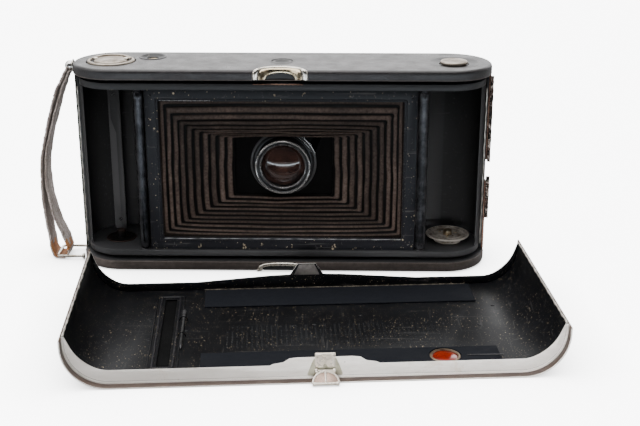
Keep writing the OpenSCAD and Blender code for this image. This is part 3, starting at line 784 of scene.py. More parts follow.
def body_covers():
    top = side_cover("top_leather", HEIGHT, TOP_LOW.z, 2, "top_leather")
    cut(top, [top_hole(KEY, 14.4), top_hole(KNOB, 14.4), top_hole(SOCKET, 7.2), top_hole((0, 0), 6.3),
        catch_cutter(TOP_LOW.z - 2, HEIGHT + 3)])
    # Painted shade: the steep faces of the rolled edge get a darker copy of the leather.
    top.data.materials.append(MATERIALS["rim_dark"])
    for face in top.data.polygons:
        if abs(face.normal.z) < 0.55:
            face.material_index = len(top.data.materials) - 1
    place(top, "leather_top")
    core = refine("plate_top", "inside", 0.4)
    cut(core, [catch_cutter(TOP_LOW.z - 2, HEIGHT + 3)])
    bottom = side_cover("bottom_leather", 0, BOTTOM_HIGH.z, 2.2, "rim_leather")
    cut(bottom, [catch_cutter(-3, 2.2)])
    place(bottom, "leather_bottom")
    for sign, z in ((1, TOP_LOW.z), (-1, BOTTOM_HIGH.z)):
        detail(tube("rim_thread", stadium(0.12, z + sign * 0.5), 0.22, "rim_leather", 6, closed=True), "body",
            "leather")
    detail(lathe("knob_dish", [(14.6, 0.62), (14.35, 0.95), (13.2, 0.72), (11.4, 0.3), (9.6, 0.12),
        (8.6, 0.02), (8.4, -0.6), (14.6, -0.6)], metres(KNOB.x, KNOB.y, PLATE_TOP), UP, "worn_leather",
        closed=True), "body", "leather")
    detail(lathe("key_wall", [(14.7, 0.5), (14.45, 0.98), (14.15, 0.7), (14.1, -1.1), (14.7, -1.1)],
        metres(KEY.x, KEY.y, PLATE_TOP), UP, "worn_leather", closed=True), "body", "leather")


def key_and_knobs():
    """The winding key is a dished disc with a folding wing; the spool knob is a turned cap."""
    z = PLATE_TOP
    centre = metres(KEY.x, KEY.y, 0)
    place(lathe("key_disc", raised(z, [(0, -1), (13.1, -1), (13.45, -0.6), (13.5, 1.1), (13.3, 1.55),
        (12.6, 1.8), (12, 1.75), (11.6, 1), (11.4, -0.4), (9.9, -0.4), (9.7, 1.3), (9.2, 1.9), (7.5, 2.1),
        (4, 2.15), (0, 2.2)]), centre, UP, "key_metal"), "winding_key")
    detail(lathe("key_gap", raised(z, [(9.95, -0.3), (11.35, -0.3), (11.5, 0.7), (11.3, 0.8), (10, 0.75),
        (9.85, 0.7)]), centre, UP, "old_black", closed=True), "key", "nickel")
    detail(lathe("key_shaft", [(0, 104), (2.7, 104), (2.9, 104.4), (2.9, 117.5), (2.7, 118.6), (0, 118.6)],
        centre, UP, "nickel", 48), "key", "nickel")
    for x in (-9.2, 9.2):
        detail(lathe("key_pin", [(0, -1.1), (0.7, -1), (0.8, -0.6), (0.8, 0.6), (0.7, 1), (0, 1.1)],
            metres(KEY.x + x * 0.94, KEY.y, z + 2.05), (1, 0, 0), "nickel", 20), "key", "nickel")
    wing_low, wing_high = mm_box("key_wing")
    half = (wing_high.x - wing_low.x) / 2 - 0.2
    reach = wing_high.y - KEY.y
    outline = [(half * cos(a), reach * sin(a)) for a in angles(pi, 26)]
    inner = [((half - 2.2) * cos(a), (reach - 2.1) * sin(a)) for a in angles(pi, 26)[::-1]]
    place(plate("key_bail", outline + inner, 0.9, lambda u, v, w: Vector((KEY.x + u, KEY.y + v,
        wing_low.z + 0.1 + w)) * MM, "key_metal", 0.25), "key_wing")
    z = mm_box("spool_knob")[1].z
    centre = metres(KNOB.x, KNOB.y, 0)
    place(lathe("knob_cap", [(0, 104.8), (1.8, 104.8), (1.85, 118.4), (6.6, 118.7), (7.1, 119.1),
        (7.45, z - 1.6), (7.7, z - 1.15), (7.72, z - 0.7), (7.4, z - 0.2), (6.6, z), (4, z - 0.12),
        (0, z - 0.15)], centre, UP, "key_metal"), "spool_knob")
    for a in circle(36):
        detail(lathe("knurl", raised(z, [(0, -1.5), (0.28, -1.4), (0.28, -0.75), (0, -0.6)]),
            metres(KNOB.x + 7.6 * cos(a), KNOB.y + 7.6 * sin(a), 0), UP, "key_metal", 6), "feed_knob",
            "nickel")
    centre = metres(SOCKET.x, SOCKET.y, 0)
    place(lathe("socket_ring", [(3.3, 114.8), (3.3, 119.6), (3.7, 120), (5.6, 120.1), (6.6, 120.5),
        (7.4, 121), (7.9, 120.9), (8, 120.65), (6.9, 119.7), (5.3, 119.2), (5.3, 114.8)], centre, UP,
        "old_black", closed=True), "tripod_socket")
    for k in range(5):
        z0 = 119.2 - k * 1
        detail(lathe("thread", [(3.32, z0), (3.05, z0 - 0.3), (3.32, z0 - 0.6)], centre, UP, "brass", 40),
            "body", "brass")
    button_low, button_high = mm_box("release_button")
    z = button_high.z
    place(lathe("button_cap", [(0, button_low.z + 0.1), (6, button_low.z + 0.1), (6.15, z - 1.3),
        (5.9, z - 0.75), (5.2, z - 0.42), (4.5, z - 0.5), (3.6, z - 1.15), (2, z - 1.5), (0, z - 1.6)],
        (0, 0, 0), UP, "worn_leather", 64), "release_button")
    detail(lathe("button_rim", raised(z, [(6.2, -1.4), (6.2, -0.5), (6.45, -0.25), (7, -0.22), (7.3, -0.38)]),
        (0, 0, 0), UP, "worn_leather", 64), "body", "leather")


def rails(name, lines, material, thickness):
    """A sheet stretched over guide lines that are drawn for the right half and mirrored."""
    rows = []
    for line in lines:
        half = curve(line, 5)
        rows.append([p * MM for p in half] + [Vector((-p.x, p.y, p.z)) * MM for p in reversed(half[:-1])])
    bm = bmesh.new()
    grid = [[bm.verts.new(p) for p in row] for row in rows]
    for low, high in zip(grid, grid[1:]):
        for i in range(len(low) - 1):
            bm.faces.new((low[i], low[i + 1], high[i + 1], high[i]))
    sheet = new_object(name, bm, material)
    thick = sheet.modifiers.new("thick", "SOLIDIFY")
    thick.thickness = thickness * MM
    thick.offset = 0
    apply_modifiers(sheet)
    sheet.data.shade_smooth()
    return sheet


def catches():
    """The two keepers at the rear edge: an arch of rolled nickel round a bite in the cover, gilt inside."""
    rear = -DEPTH / 2 - 0.3
    base = TOP_LOW.z
    outer = [(15.6, 0.1, 0.8), (15.6, 0, 3), (15.4, 0, 4.8), (14.6, 0.9, 6), (12.8, 2.8, 6.15),
        (10.2, 5.5, 6.15), (7, 7.5, 6.15), (3.5, 8.5, 6.15), (0, 8.8, 6.15)]
    crest = [(14.2, -0.6, 0.8), (14.2, -0.7, 3), (14, -0.6, 5), (13.2, 0.6, 6.7), (11.6, 2.5, 7),
        (9.4, 4.8, 7), (6.6, 6.6, 7), (3.4, 7.5, 7), (0, 7.8, 7)]
    inner = [(12.2, 0.1, 0.8), (12.1, 0.1, 2.9), (11.8, 0.5, 4.4), (11, 1.5, 5.8), (9.6, 3.2, 6.3),
        (7.6, 4.6, 6.3), (5.2, 5.6, 6.3), (2.6, 6.3, 6.3), (0, 6.5, 6.3)]
    gilt = [(10.6, 1.1, 0.5), (10.4, 1.3, 1.9), (10, 1.7, 3.2), (9.2, 2.6, 4.4), (7.9, 3.8, 4.9),
        (6.2, 4.8, 5.1), (4.2, 5.5, 5.2), (2.1, 5.9, 5.3), (0, 6, 5.3)]
    deep = [(8.6, 0.7, 0.2), (8.4, 0.9, 1), (8, 1.3, 1.9), (7.2, 2.1, 2.7), (6, 3.1, 3.2), (4.6, 4, 3.5),
        (3.1, 4.6, 3.7), (1.5, 4.9, 3.8), (0, 5, 3.8)]

    def lift(line):
        return [(x, rear + y, base + z) for x, y, z in line]

    place(rails("top_catch", [lift(outer), lift(crest), lift(inner)], "nickel", 0.4), "catch_plates")
    detail(rails("top_bowl", [lift(inner), lift(gilt), lift(deep)], "gold_nickel", 0.3), "body", "nickel")
    path = [(-14.6, 0.7), (-13.6, 1.6), (-12.4, 3.2), (-9.6, 4.3), (-5, 4.8), (0, 4.95), (5, 4.8), (9.6, 4.3),
        (12.4, 3.2), (13.6, 1.6), (14.6, 0.7)]
    line = curve([Vector((u, rear, v)) for u, v in path], 5)
    widths = [0.85 + 0.35 * sin(pi * k / (len(line) - 1)) for k in range(len(line))]
    detail(tube("bottom_catch", [p * MM for p in line], widths, "nickel", 12), "body", "nickel")
    detail(plate("bottom_slot", rounded([(-11.6, 0.9), (11.6, 0.9), (9.4, 3.4), (0, 4.2), (-9.4, 3.4)], 1),
        0.3, upright(0, rear + 0.42, 0), "inside", 0.05), "body", "black_enamel")
    for x in (-13, 13):
        detail(lathe("catch_foot", [(0, -0.2), (1.5, -0.2), (1.55, 0.3), (1.1, 0.7), (0, 0.8)],
            metres(x, rear + 0.1, 1.9), REAR, "nickel", 28), "body", "nickel")
    lip = mm_box("housing_top")
    z = TOP_LOW.z - 2.4
    line = [Vector((-15.5 + 28 * k / 40, lip[0].y - 0.02,
        z - 0.15 + 0.1 * sin(k * 1.7))) * MM for k in range(41)]
    detail(tube("rubbed_lip", line, [0.16 + 0.24 * abs(sin(0.4 + k * 0.9)) for k in range(41)],
        "rubbed_brown", 8), "body", "black_enamel")


# ---------------------------------------------------------------- bellows

FOLD_LOW, FOLD_HIGH = mm_box("bellows")
CUFF_LOW, CUFF_HIGH = mm_box("bellows_cuff")
FOLDS = 10
# One fold, as (place across in folds, depth in fold pitches, how much light the rib catches).
FOLD_SHAPE = [(-0.47, 0.16, 0.2), (-0.42, 0.05, 0.6), (-0.30, -0.02, 0.9), (-0.14, -0.06, 1),
    (0.02, -0.03, 1), (0.12, 0.06, 0.75), (0.18, 0.2, 0.3), (0.17, 0.36, 0), (-0.28, 0.5, 0), (0.10, 0.85, 0),
    (0.34, 1.24, 0), (0.47, 1.28, 0)]


SIDE_OUT = ((0, 1), (-1, 0), (0, -1), (1, 0))  # which way each side of fold_ring faces, as (x, z)


def fold_ring(u, y, drawn, wobble):
    """A rounded rectangle of the bellows. u counts folds from the gate, drawn is a fold's random pair."""
    wide = 67.6 - (41.4 * (u / FOLDS) ** 1.14 if u > 0 else 4.2 * u)
    above = 39.9 - (29 * (1 - exp(-u / 4.4)) if u > 0 else 6.6 * u)
    below = 39.9 - 1.95 * u
    tall, sink = (above + below) / 2, (below - above) / 2
    radius, side_steps = 1.1, 26
    points = []
    phase, lean = drawn
    corners = [(wide, tall, 0), (-wide, tall, pi / 2), (-wide, -tall, pi), (wide, -tall, -pi / 2)]
    for index, (cx, cz, start) in enumerate(corners):
        mx, mz = cx - copysign(radius, cx), cz - copysign(radius, cz)
        for k in range(5):
            a = start + pi / 2 * k / 4
            tuck = wobble * 0.35 * sin(phase * 3 + index * 2.1)
            points.append([mx + (radius + tuck) * cos(a), mz + (radius + tuck) * sin(a), y + 0.1 * wobble])
        nx, nz, _ = corners[(index + 1) % 4]
        ex, ez, _ = points[-1]
        tx, tz = nx - copysign(radius, nx), nz - copysign(radius, nz)
        if index in (0, 2):
            tz = nz
        else:
            tx = nx
        for k in range(1, side_steps):
            t = k / side_steps
            bell = sin(pi * t)
            wave = wobble * bell * (0.22 * sin(7 * t + phase * 5 + index) + 0.12 * sin(17 * t + phase * 11))
            bow = wobble * bell * (0.5, 0.25, 0.35, 0.2)[index] * (1 + 0.6 * sin(phase * 7 + index))
            if index == 1:
                bow += wobble * 0.55 * bell * t * t * lean
            x, z = ex + (tx - ex) * t, ez + (tz - ez) * t
            x += SIDE_OUT[index][0] * (wave + bow)
            z += SIDE_OUT[index][1] * (wave + bow)
            near = exp(-min(t, 1 - t) * (wide if index in (0, 2) else tall) / 1.7)
            tuck_in = wobble * (0.85 if index in (1, 3) else -0.28) * near
            points.append([x, z, y + tuck_in + wobble * 0.22 * sin(5 * t + phase * 9 + index * 1.7)])
    lift = 1.7 * wobble * max(0, 1 - max(u, 0) / 3.5)
    return [Vector((x, depth, MID_Z + z - sink + (lift * abs(x / wide) ** 7 if z < 0 else 0))) * MM
        for x, z, depth in points]


def bellows():
    rng = random.Random(7)
    pitch = (FOLD_HIGH.y - FOLD_LOW.y) / FOLDS
    rings = [fold_ring(-1.1, FOLD_LOW.y + 0.05, (0, 0), 0), fold_ring(-0.7, FOLD_LOW.y + 0.1, (0, 0), 0)]
    # tone is painted light per ring: how much light each rib catches, 0 where the folds lie in shade.
    tone = [0, 0.1]
    for fold in range(FOLDS):
        phase = (rng.random(), rng.random())
        for across, depth, light in FOLD_SHAPE:
            u = fold + across * (0.8 if fold == 0 and across < -0.3 else 1)
            y = max(FOLD_LOW.y + 0.12, FOLD_LOW.y + 0.25 + pitch * (fold + depth))
            wobble = 1 if fold > 0 else 0.6
            rings.append(fold_ring(u, min(y, CUFF_HIGH.y - 0.5), phase, wobble))
            tone.append(light * (0.55 + 0.75 * phase[0]))
    last = FOLDS - 1
    for u, y in ((last + 0.35, CUFF_LOW.y + 0.3), (last - 0.9, CUFF_LOW.y + 0.5),
            (last - 1.2, CUFF_HIGH.y - 0.1)):
        rings.append(fold_ring(u, y, (0, 0), 0))
        tone.append(0)
    piece = rings_mesh("bellows_folds", rings, "bellows_cloth", capped=False)
    # The crest attribute carries the painted light on the ribs and the painted shade in the folds.
    crest = piece.data.attributes.new("crest", "FLOAT", "POINT")
    crest.data.foreach_set("value", [value for value, ring in zip(tone, rings) for _ in ring])
    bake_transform(piece)
    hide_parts("bellows", "bellows_cuff")


# ---------------------------------------------------------------- lens

def rear_lens():
    """The rear cell: a stepped black collar, a bright lip, a dark groove and a domed glass in its ring."""
    y = LENS_HIGH.y
    centre = metres(LENS.x, y, LENS.z)
    deep = y - LENS_LOW.y
    place(lathe("rear_collar", [(15.2, 0), (19.7, 0), (19.75, 0.9), (19.3, 1.5), (18.5, 1.6), (18.1, 1.2),
        (17.6, 1.2), (17.2, 1.9), (16.4, 2), (16.2, 2.4), (16.15, deep - 1.3), (16, deep - 0.9),
        (15, deep - 0.9), (14.9, deep - 2.6), (14.2, deep - 2.9), (13.6, deep - 2.9), (13.6, 0.4)], centre,
        REAR, "lens_black", 128, closed=True), "rear_tube")
    detail(lathe("rear_lip", raised(deep, [(16.28, -1.3), (16.35, -0.6), (16.15, -0.15), (15.85, 0),
        (15.55, -0.15), (15.45, -0.6), (15.45, -1.1)]), centre, REAR, "lip_metal", 128, closed=True),
        "standard", "nickel")
    # Painted highlight: bright metal arcs on the upper right of the collar's rounded edges.
    for radius, start, end, size in ((19.5, 14, 62, 0.32), (17.9, 22, 70, 0.24)):
        line = []
        for k in range(33):
            a = radians(start + (end - start) * k / 32)
            line.append(Vector((centre[0] + radius * cos(a) * MM, (y - 1.55) * MM,
                centre[2] + radius * sin(a) * MM)))
        detail(tube("collar_painted_highlight", line, [size * sin(pi * (k + 0.5) / 33) for k in range(33)], "bright_edge",
            8), "standard", "nickel")
    detail(lathe("cell_ring", raised(deep, [(13.6, -3.6), (13.6, -2.2), (13.4, -1.9), (13.1, -2),
        (12.9, -2.5), (12.85, -3.6)]), centre, REAR, "cell_ring", 128, closed=True), "standard", "steel")
    sphere = 19.5
    rim_angle = asin(13.1 / sphere)
    base = deep - 6.4
    top_of_dome = [(13.1, base - 0.8), (13.1, base)]
    top_of_dome += [(sphere * sin(rim_angle * (1 - k / 18)),
        base + sphere * (cos(rim_angle * (1 - k / 18)) - cos(rim_angle))) for k in range(1, 18)] + [(0,
        base + sphere * (1 - cos(rim_angle)))]
    under = [(0, base - 1.6)] + [(12.4 * sin(a), base - 1.6 + 0.8 * (1 - cos(a))) for a in angles(pi / 2, 8,
        1)]
    place(lathe("rear_element", under + top_of_dome, centre, REAR, "brown_glass", 96), "rear_glass")
    detail(lathe("barrel_floor", raised(base, [(13.6, -1.6), (13.4, -1.9), (12.6, -3.2), (9.4, -3.4),
        (9.2, -4.6), (5.4, -4.8), (5.2, -6.4), (0, -6.5)]), centre, REAR, "barrel_brown", 96), "standard",
        "black_enamel")
    cloth_y = CUFF_HIGH.y + 0.12
    outline = rounded(rectangle(-30.6, -36, 30.6, 36), 1.5)
    hole = [(LENS.x + 15.4 * cos(a), LENS.z - MID_Z + 15.4 * sin(a)) for a in angles(2 * pi, 48)]
    detail(plate("board_cloth", [(p.x, p.y) for p in outline] + [(outline[0].x, outline[0].y)] + hole[::-1],
        0.12, upright(0, cloth_y, MID_Z, 1), "felt", 0.02), "standard", "black_enamel")


def front_lens():
    """The shutter's face: the turned lens cell with its knurled rim, and its front glass."""
    low, high = mm_box("front_lens_ring")
    centre = metres(LENS.x, 0, LENS.z)
    place(lathe("front_cell", [(12.5, low.y), (12.5, high.y - 1.4), (12, high.y - 0.9), (12, high.y - 0.35),
        (11.6, high.y), (11, high.y), (10.6, high.y - 0.4), (10.4, high.y - 1.6), (10.1, high.y - 1.9),
        (10.1, low.y + 0.8), (10.1, low.y)], centre, FRONT, "nickel", 96, closed=True), "front_lens_ring")
    for a in circle(48):
        detail(lathe("knurl", raised(high.y, [(0, -2.9), (0.24, -2.8), (0.24, -1.5), (0, -1.3)]),
            (centre[0] + 12.45 * cos(a) * MM, 0, centre[2] + 12.45 * sin(a) * MM), FRONT, "nickel", 6),
            "standard", "nickel")
    glass_low, glass_high = mm_box("front_glass")
    deep = glass_low.y
    profile = [(0, deep + 0.2), (9.9, deep + 0.05), (10, deep + 0.9)]
    profile += [(9.9 * cos(a), deep + 0.9 + (glass_high.y - deep - 1) * sin(a)) for a in angles(pi / 2, 12, 1,
        11)] + [(0, glass_high.y - 0.1)]
    place(lathe("front_element", profile, centre, FRONT, "lens_glass", 96), "front_glass")


def screw(place_at, axis, radius, body, slot, material="nickel", turn=0.6):
    """A small domed screw head with a dark slot across it."""
    detail(lathe("screw", [(0, -0.2), (radius, -0.2), (radius * 1.02, 0.1), (radius * 0.85, 0.32),
        (radius * 0.4, 0.46), (0, 0.5)], Vector(place_at) * MM, axis, material, 24), body, slot)
    face = Vector(UP).rotation_difference(Vector(axis)).to_matrix()
    bm = bmesh.new()
    bmesh.ops.create_cube(bm, size=1)
    for vert in bm.verts:
        x, y, z = vert.co.x * radius * 1.7, vert.co.y * 0.24, 0.4 + vert.co.z * 0.3
        c, s = cos(turn), sin(turn)
        vert.co = face @ Vector((x * c - y * s, x * s + y * c, z)) * MM + Vector(place_at) * MM
    detail(new_object("screw_slot", bm, "old_black", False), body, slot)


# ---------------------------------------------------------------- film chambers

def rollers():
    for node, material in (("roller_left", "roller_steel"), ("roller_right", "dark_steel")):
        low, high = mm_box(node)
        (cx, cy, _), r = middle(low, high), (high.x - low.x) / 2
        profile = [(1.08, low.z), (1.9, low.z), (2.1, low.z + 0.5), (2.1, low.z + 0.9), (r - 0.35, low.z + 1),
            (r, low.z + 1.4), (r, low.z + 5), (r - 0.06, low.z + 5.3), (r - 0.06, high.z - 5.3),
            (r, high.z - 5), (r, high.z - 1.4), (r - 0.35, high.z - 1), (2.1, high.z - 0.9),
            (2.1, high.z - 0.5), (1.9, high.z), (1.08, high.z)]
        place(lathe(node + "_tube", profile, metres(cx, cy, 0), UP, material, 48, closed=True), node)
    low, high = mm_box("roller_pins")
    for x in (low.x + 1, high.x - 1):
        for z, sign in ((low.z, 1), (high.z, -1)):
            detail(lathe("pin_washer", [(0, 0.02), (2.3, 0.02), (2.4, 0.12), (2.3, 0.34), (1.2, 0.42),
                (0, 0.42)], metres(x, (low.y + high.y) / 2, z), (0, 0, sign), "steel", 28), "body", "steel")
    dress("steel", 0.15, "roller_pins")


def spool_parts():
    floor = mm_box("spool_seats")[0].z
    centre = metres(KNOB.x, KNOB.y, floor)
    place(lathe("spool_ring", [(0, 0.05), (8.1, 0.05), (8.2, 2.6), (9.2, 3.1), (11.8, 3.2), (12.6, 3.5),
        (13, 4), (12.8, 4.45), (12.1, 4.6), (11.6, 4.2), (10.9, 4), (10.3, 4.25), (9.6, 4.5), (9, 4.4),
        (8.5, 3.7), (7.4, 3.6), (6.6, 3.9), (5.2, 4), (3.4, 3.9), (3, 3.7), (0, 3.7)], centre, UP,
        "spool_nickel", 96), "spool_seats")
    detail(lathe("spool_pin", [(0, 3.6), (2.5, 3.6), (2.6, 4), (2.6, 5.9), (2.3, 6.7), (1.4, 7), (0, 7)],
        centre, UP, "brass", 40), "body", "brass")
    for k in range(3):
        a = 2 * pi * k / 3 + 0.4
        screw((KNOB.x + 5.4 * cos(a), KNOB.y + 5.4 * sin(a), floor + 3.95), UP, 0.9, "body", "brass", "brass",
            a)
    centre = metres(KEY.x, KEY.y, floor)
    detail(lathe("key_seat", [(0, 0.05), (9, 0.05), (9.05, 0.35), (8.7, 0.62), (8.2, 0.6), (7.8, 0.3),
        (4, 0.3), (3.4, 0.7), (2.7, 0.8), (2.6, 4.4), (2.2, 5), (0, 5)], centre, UP, "old_brass", 72), "body",
        "brass")
    low, high = mm_box("film_spring")
    dress("spring_metal", 0.2, "film_spring")
    # Painted shadow: a near-black sheet over the spring's right part and top, where shade falls on it.
    shadow_edge_x = low.x + 0.56 * (high.x - low.x)
    painted_shadow_outline = [(shadow_edge_x, low.z + 0.6), (high.x - 0.05, low.z + 0.6), (high.x - 0.05, high.z - 0.2),
        (low.x + 0.9, high.z - 0.2), (low.x + 1.1, high.z - 21), (shadow_edge_x, high.z - 30)]
    detail(plate("spring_painted_shadow", painted_shadow_outline, 0.15, upright(0, low.y - 0.02, 0), "chamber", 0.04), "body", "steel")
    for z in (low.z + 6, high.z - 6):
        screw(((low.x + high.x) / 2, low.y - 0.1, z), REAR, 1.3, "body", "steel", "spring_metal")


def chamber_trim():
    """Thin worn lines along the open edges of the chambers and the torn cover at the ends."""
    for node, sign in (("chamber_shell_left", -1), ("chamber_shell_right", 1)):
        low, high = mm_box(node)
        x = low.x if sign < 0 else high.x
        detail(tube("chamber_edge", [metres(x - sign * 0.35 + 0.12 * sin(k * 1.7), low.y + 0.15,
            low.z + 1 + (high.z - low.z - 2) * k / 40) for k in range(41)],
            [0.3 + 0.12 * sin(k * 2.3) for k in range(41)], "worn_edge", 8), "body", "black_enamel")
    rng = random.Random(3)
    for node, sign, spans in (("front_leather_left", -1, [(6.4, 114.2)]),
            ("front_leather_right", 1, [(6.4, 48.8), (62.2, 114.2)])):
        low, high = mm_box(node)
        x = low.x if sign < 0 else high.x
        for z0, z1 in spans:
            steps = max(8, int((z1 - z0) / 1.4))
            rings = []
            for k in range(steps + 1):
                z = z0 + (z1 - z0) * k / steps
                out, frayed = rng.uniform(0, 0.28), rng.uniform(0.1, 0.75)
                rings.append([Vector(p) * MM for p in ((x - sign * 1.15, 0.05, z),
                    (x - sign * 1.1, -frayed, z), (x - sign * 0.5, -frayed - 0.15, z),
                    (x + sign * out * 0.4, -frayed * 0.7, z), (x + sign * 0.06, 0.3, z),
                    (x - sign * 0.5, 0.4, z))])
            detail(rings_mesh("torn_edge", rings, "raw_edge" if sign > 0 else "speckled", smooth=False),
                "body", "leather")


FILM_GATE = (70, 41.25)  # half the opening's length and height


def gate():
    """The film gate's sill: thin pressed beads beside the opening and chipped corners."""
    low = mm_box("gate_frame")[0]
    dress("gate", 0.35, "gate_frame")
    open_x, open_z = FILM_GATE
    for z in (MID_Z - open_z - 1.2, MID_Z + open_z + 1.2):
        detail(tube("gate_bead", [metres(-open_x - 1 + (2 * open_x + 2) * k / 60, low.y + 0.02,
            z + 0.05 * sin(k)) for k in range(61)], 0.42, "gate", 8), "body", "black_enamel")
    for x in (-open_x - 1.2, open_x + 1.2):
        detail(tube("gate_bead", [metres(x, low.y + 0.02,
            MID_Z - open_z - 1 + (2 * open_z + 2) * k / 40) for k in range(41)], 0.42, "gate", 8), "body",
            "black_enamel")
    for x0, x1, z in ((-open_x + 0.5, open_x - 0.5, MID_Z - open_z - 0.35),
            (-open_x + 1, -open_x + 30, MID_Z + open_z + 0.5)):
        line = [metres(x0 + (x1 - x0) * k / 120, low.y - 0.02, z + 0.06 * sin(k * 0.4)) for k in range(121)]
        detail(tube("sill_wear", line, [0.13 + 0.09 * sin(k * 0.83) * sin(k * 0.31) for k in range(121)],
            "sill_edge", 8), "body", "side_metal")
    rng = random.Random(21)
    for x, z, size in ((-49, 14.3, 0.9), (-22, 14, 1.2), (-12, 15.4, 0.7), (6, 14.6, 0.8), (30.5, 14.2, 1.2),
            (43, 13.8, 0.6), (54, 14.1, 0.5), (-4, 105.4, 0.7), (13, 105.7, 0.8), (-60, 16.2, 0.4),
            (66, 18.6, 0.4)):
        for k in range(4):
            spot = [(size * 0.5 * rng.uniform(0.5, 1.2) * cos(a),
                size * rng.uniform(0.5, 1.3) * sin(a)) for a in circle(9)]
            dx, dz = rng.uniform(-size, size), rng.uniform(-size, size) * 1.4
            detail(plate("paint_flake", [(u * (0.4 + 0.2 * k % 1), v * 0.7) for u, v in spot], 0.05,
                upright(x + dx, low.y - 0.005, z + dz), "primer", 0.01), "body", "black_enamel")
    for sx, sz in CORNERS:
        screw((sx * (open_x + 4.2), low.y - 0.05, MID_Z + sz * (open_z + 3.2)), REAR, 1, "body",
            "black_enamel", "gate", sx * 0.7)


# ---------------------------------------------------------------- strap

def ribbon(name, line, widths, thickness, outer, inner):
    """A leather strand along a line in the X-Z plane. Its left-hand side takes the outer material."""
    rings = []
    points = [Vector(p) for p in line]
    for i, point in enumerate(points):
        along = (points[min(i + 1, len(points) - 1)] - points[max(i - 1, 0)]).normalized()
        side = Vector((along.y, -along.x))
        half, thick = widths[i] / 2, thickness / 2
        ring = []
        for v, w in ((-1, -0.55), (-0.985, 0), (-1, 0.55), (-0.93, 1), (-0.5, 1.12), (0, 1.12), (0.5, 1.12),
                (0.93, 1), (1, 0.55), (0.985, 0), (1, -0.55), (0.93, -1), (0.5, -1), (0, -1), (-0.5, -1),
                (-0.93, -1)):
            wave = 0.14 * sin(i * 0.55 + v * 2) + 0.1 * sin(i * 1.3)
            offset = side * (w * thick + wave)
            ring.append(Vector((point.x + offset.x, v * half, point.y + offset.y)) * MM)
        rings.append(ring)
    piece = rings_mesh(name, rings, outer)
    piece.data.materials.append(MATERIALS[inner])
    count = len(rings[0])
    for index, face in enumerate(piece.data.polygons):
        if index < (len(rings) - 1) * count and 10 <= index % count <= 15:
            face.material_index = 1
    return piece


def torn_leather():
    """Curled, torn strips of leather that stand proud of the body's right-hand end."""
    for z0, z1, wide in ((62, 113, 1.7), (27, 52.5, 2.1)):
        outline = [(END_X - 0.6, z1), (END_X - 0.6, z0)]
        for k in range(31):
            ragged = wide * (0.8 + 0.08 * sin(k * 1.7) * sin(k * 0.9) + 0.06 * sin(k * 4.1))
            outline.append((END_X - 0.2 + ragged, z0 + (z1 - z0) * k / 30))
        detail(plate("torn_strip", outline, 2.2, lambda u, v, w: Vector((u, -4.4 + w + 0.25 * sin(v),
            v)) * MM, "torn", 0.12), "body", "leather")


def strap():
    """Two strands of leather from the ball stud, down the end and round the wire loop."""
    out = [(-123.6, 117.2), (-125.6, 113.2), (-128.6, 107.6), (-131, 102.6), (-134.6, 91), (-139.4, 74),
        (-142.2, 60), (-143, 47), (-142.9, 33), (-141.8, 22), (-140.8, 12.5), (-140.2, 6), (-138.9, 2),
        (-136.2, 0.75), (-133, 0.9), (-131, 2.6), (-130.3, 5.2)]
    back_line = [(-130.4, 5.6), (-131, 9), (-133, 15), (-136.8, 25), (-139.4, 38), (-140.4, 49), (-139.7, 62),
        (-137.2, 74), (-133, 88), (-128.8, 100.5), (-126, 107.6), (-123.8, 112.4), (-122.4, 115.4)]
    outer = curve(out, 7)
    inner = curve(back_line, 7)

    def width(z):
        taper = 15 if z < 100 else 15 - (z - 100) * 0.36
        return taper - (0.9 if abs(z - 103.4) < 0.8 else 0)

    piece = ribbon("strap_outer", outer, [width(p.y) for p in outer], 1.35, "strap_skin", "strap_flesh")
    place(piece, "strap")
    second = ribbon("strap_inner", inner, [width(p.y) * 0.97 for p in inner], 1.2, "strap_skin",
        "strap_lining")
    for strand_piece in (piece, second):
        strand_piece.data.materials.append(MATERIALS["strap_tan"])
        for face in strand_piece.data.polygons:
            edge = 0.0095 + 0.0022 * sin(face.center.y * 800) + 0.001 * sin(face.center.y * 2300)
            if face.center.z < edge and (strand_piece is second or face.material_index == 1):
                face.material_index = 2
    detail(second, "body", "strap_leather")
    for name, line, shift in (("stitch_outer", outer, 0.78), ("stitch_inner", inner, -0.7)):
        for side in (-1, 1):
            for i in range(6, len(line) - 6, 2):
                p, q = Vector(line[i]), Vector(line[i + 1])
                along = (q - p).normalized()
                normal = Vector((along.y, -along.x)) * (shift + 0.06)
                a, b = p + normal, p + (q - p) * 0.62 + normal
                y = side * (width(p.y) / 2 - 1.5)
                detail(tube(name, [metres(a.x, y, a.y), metres((a.x + b.x) / 2, y, (a.y + b.y) / 2),
                    metres(b.x, y, b.y)], 0.16, "thread", 6), "body", "strap_leather")


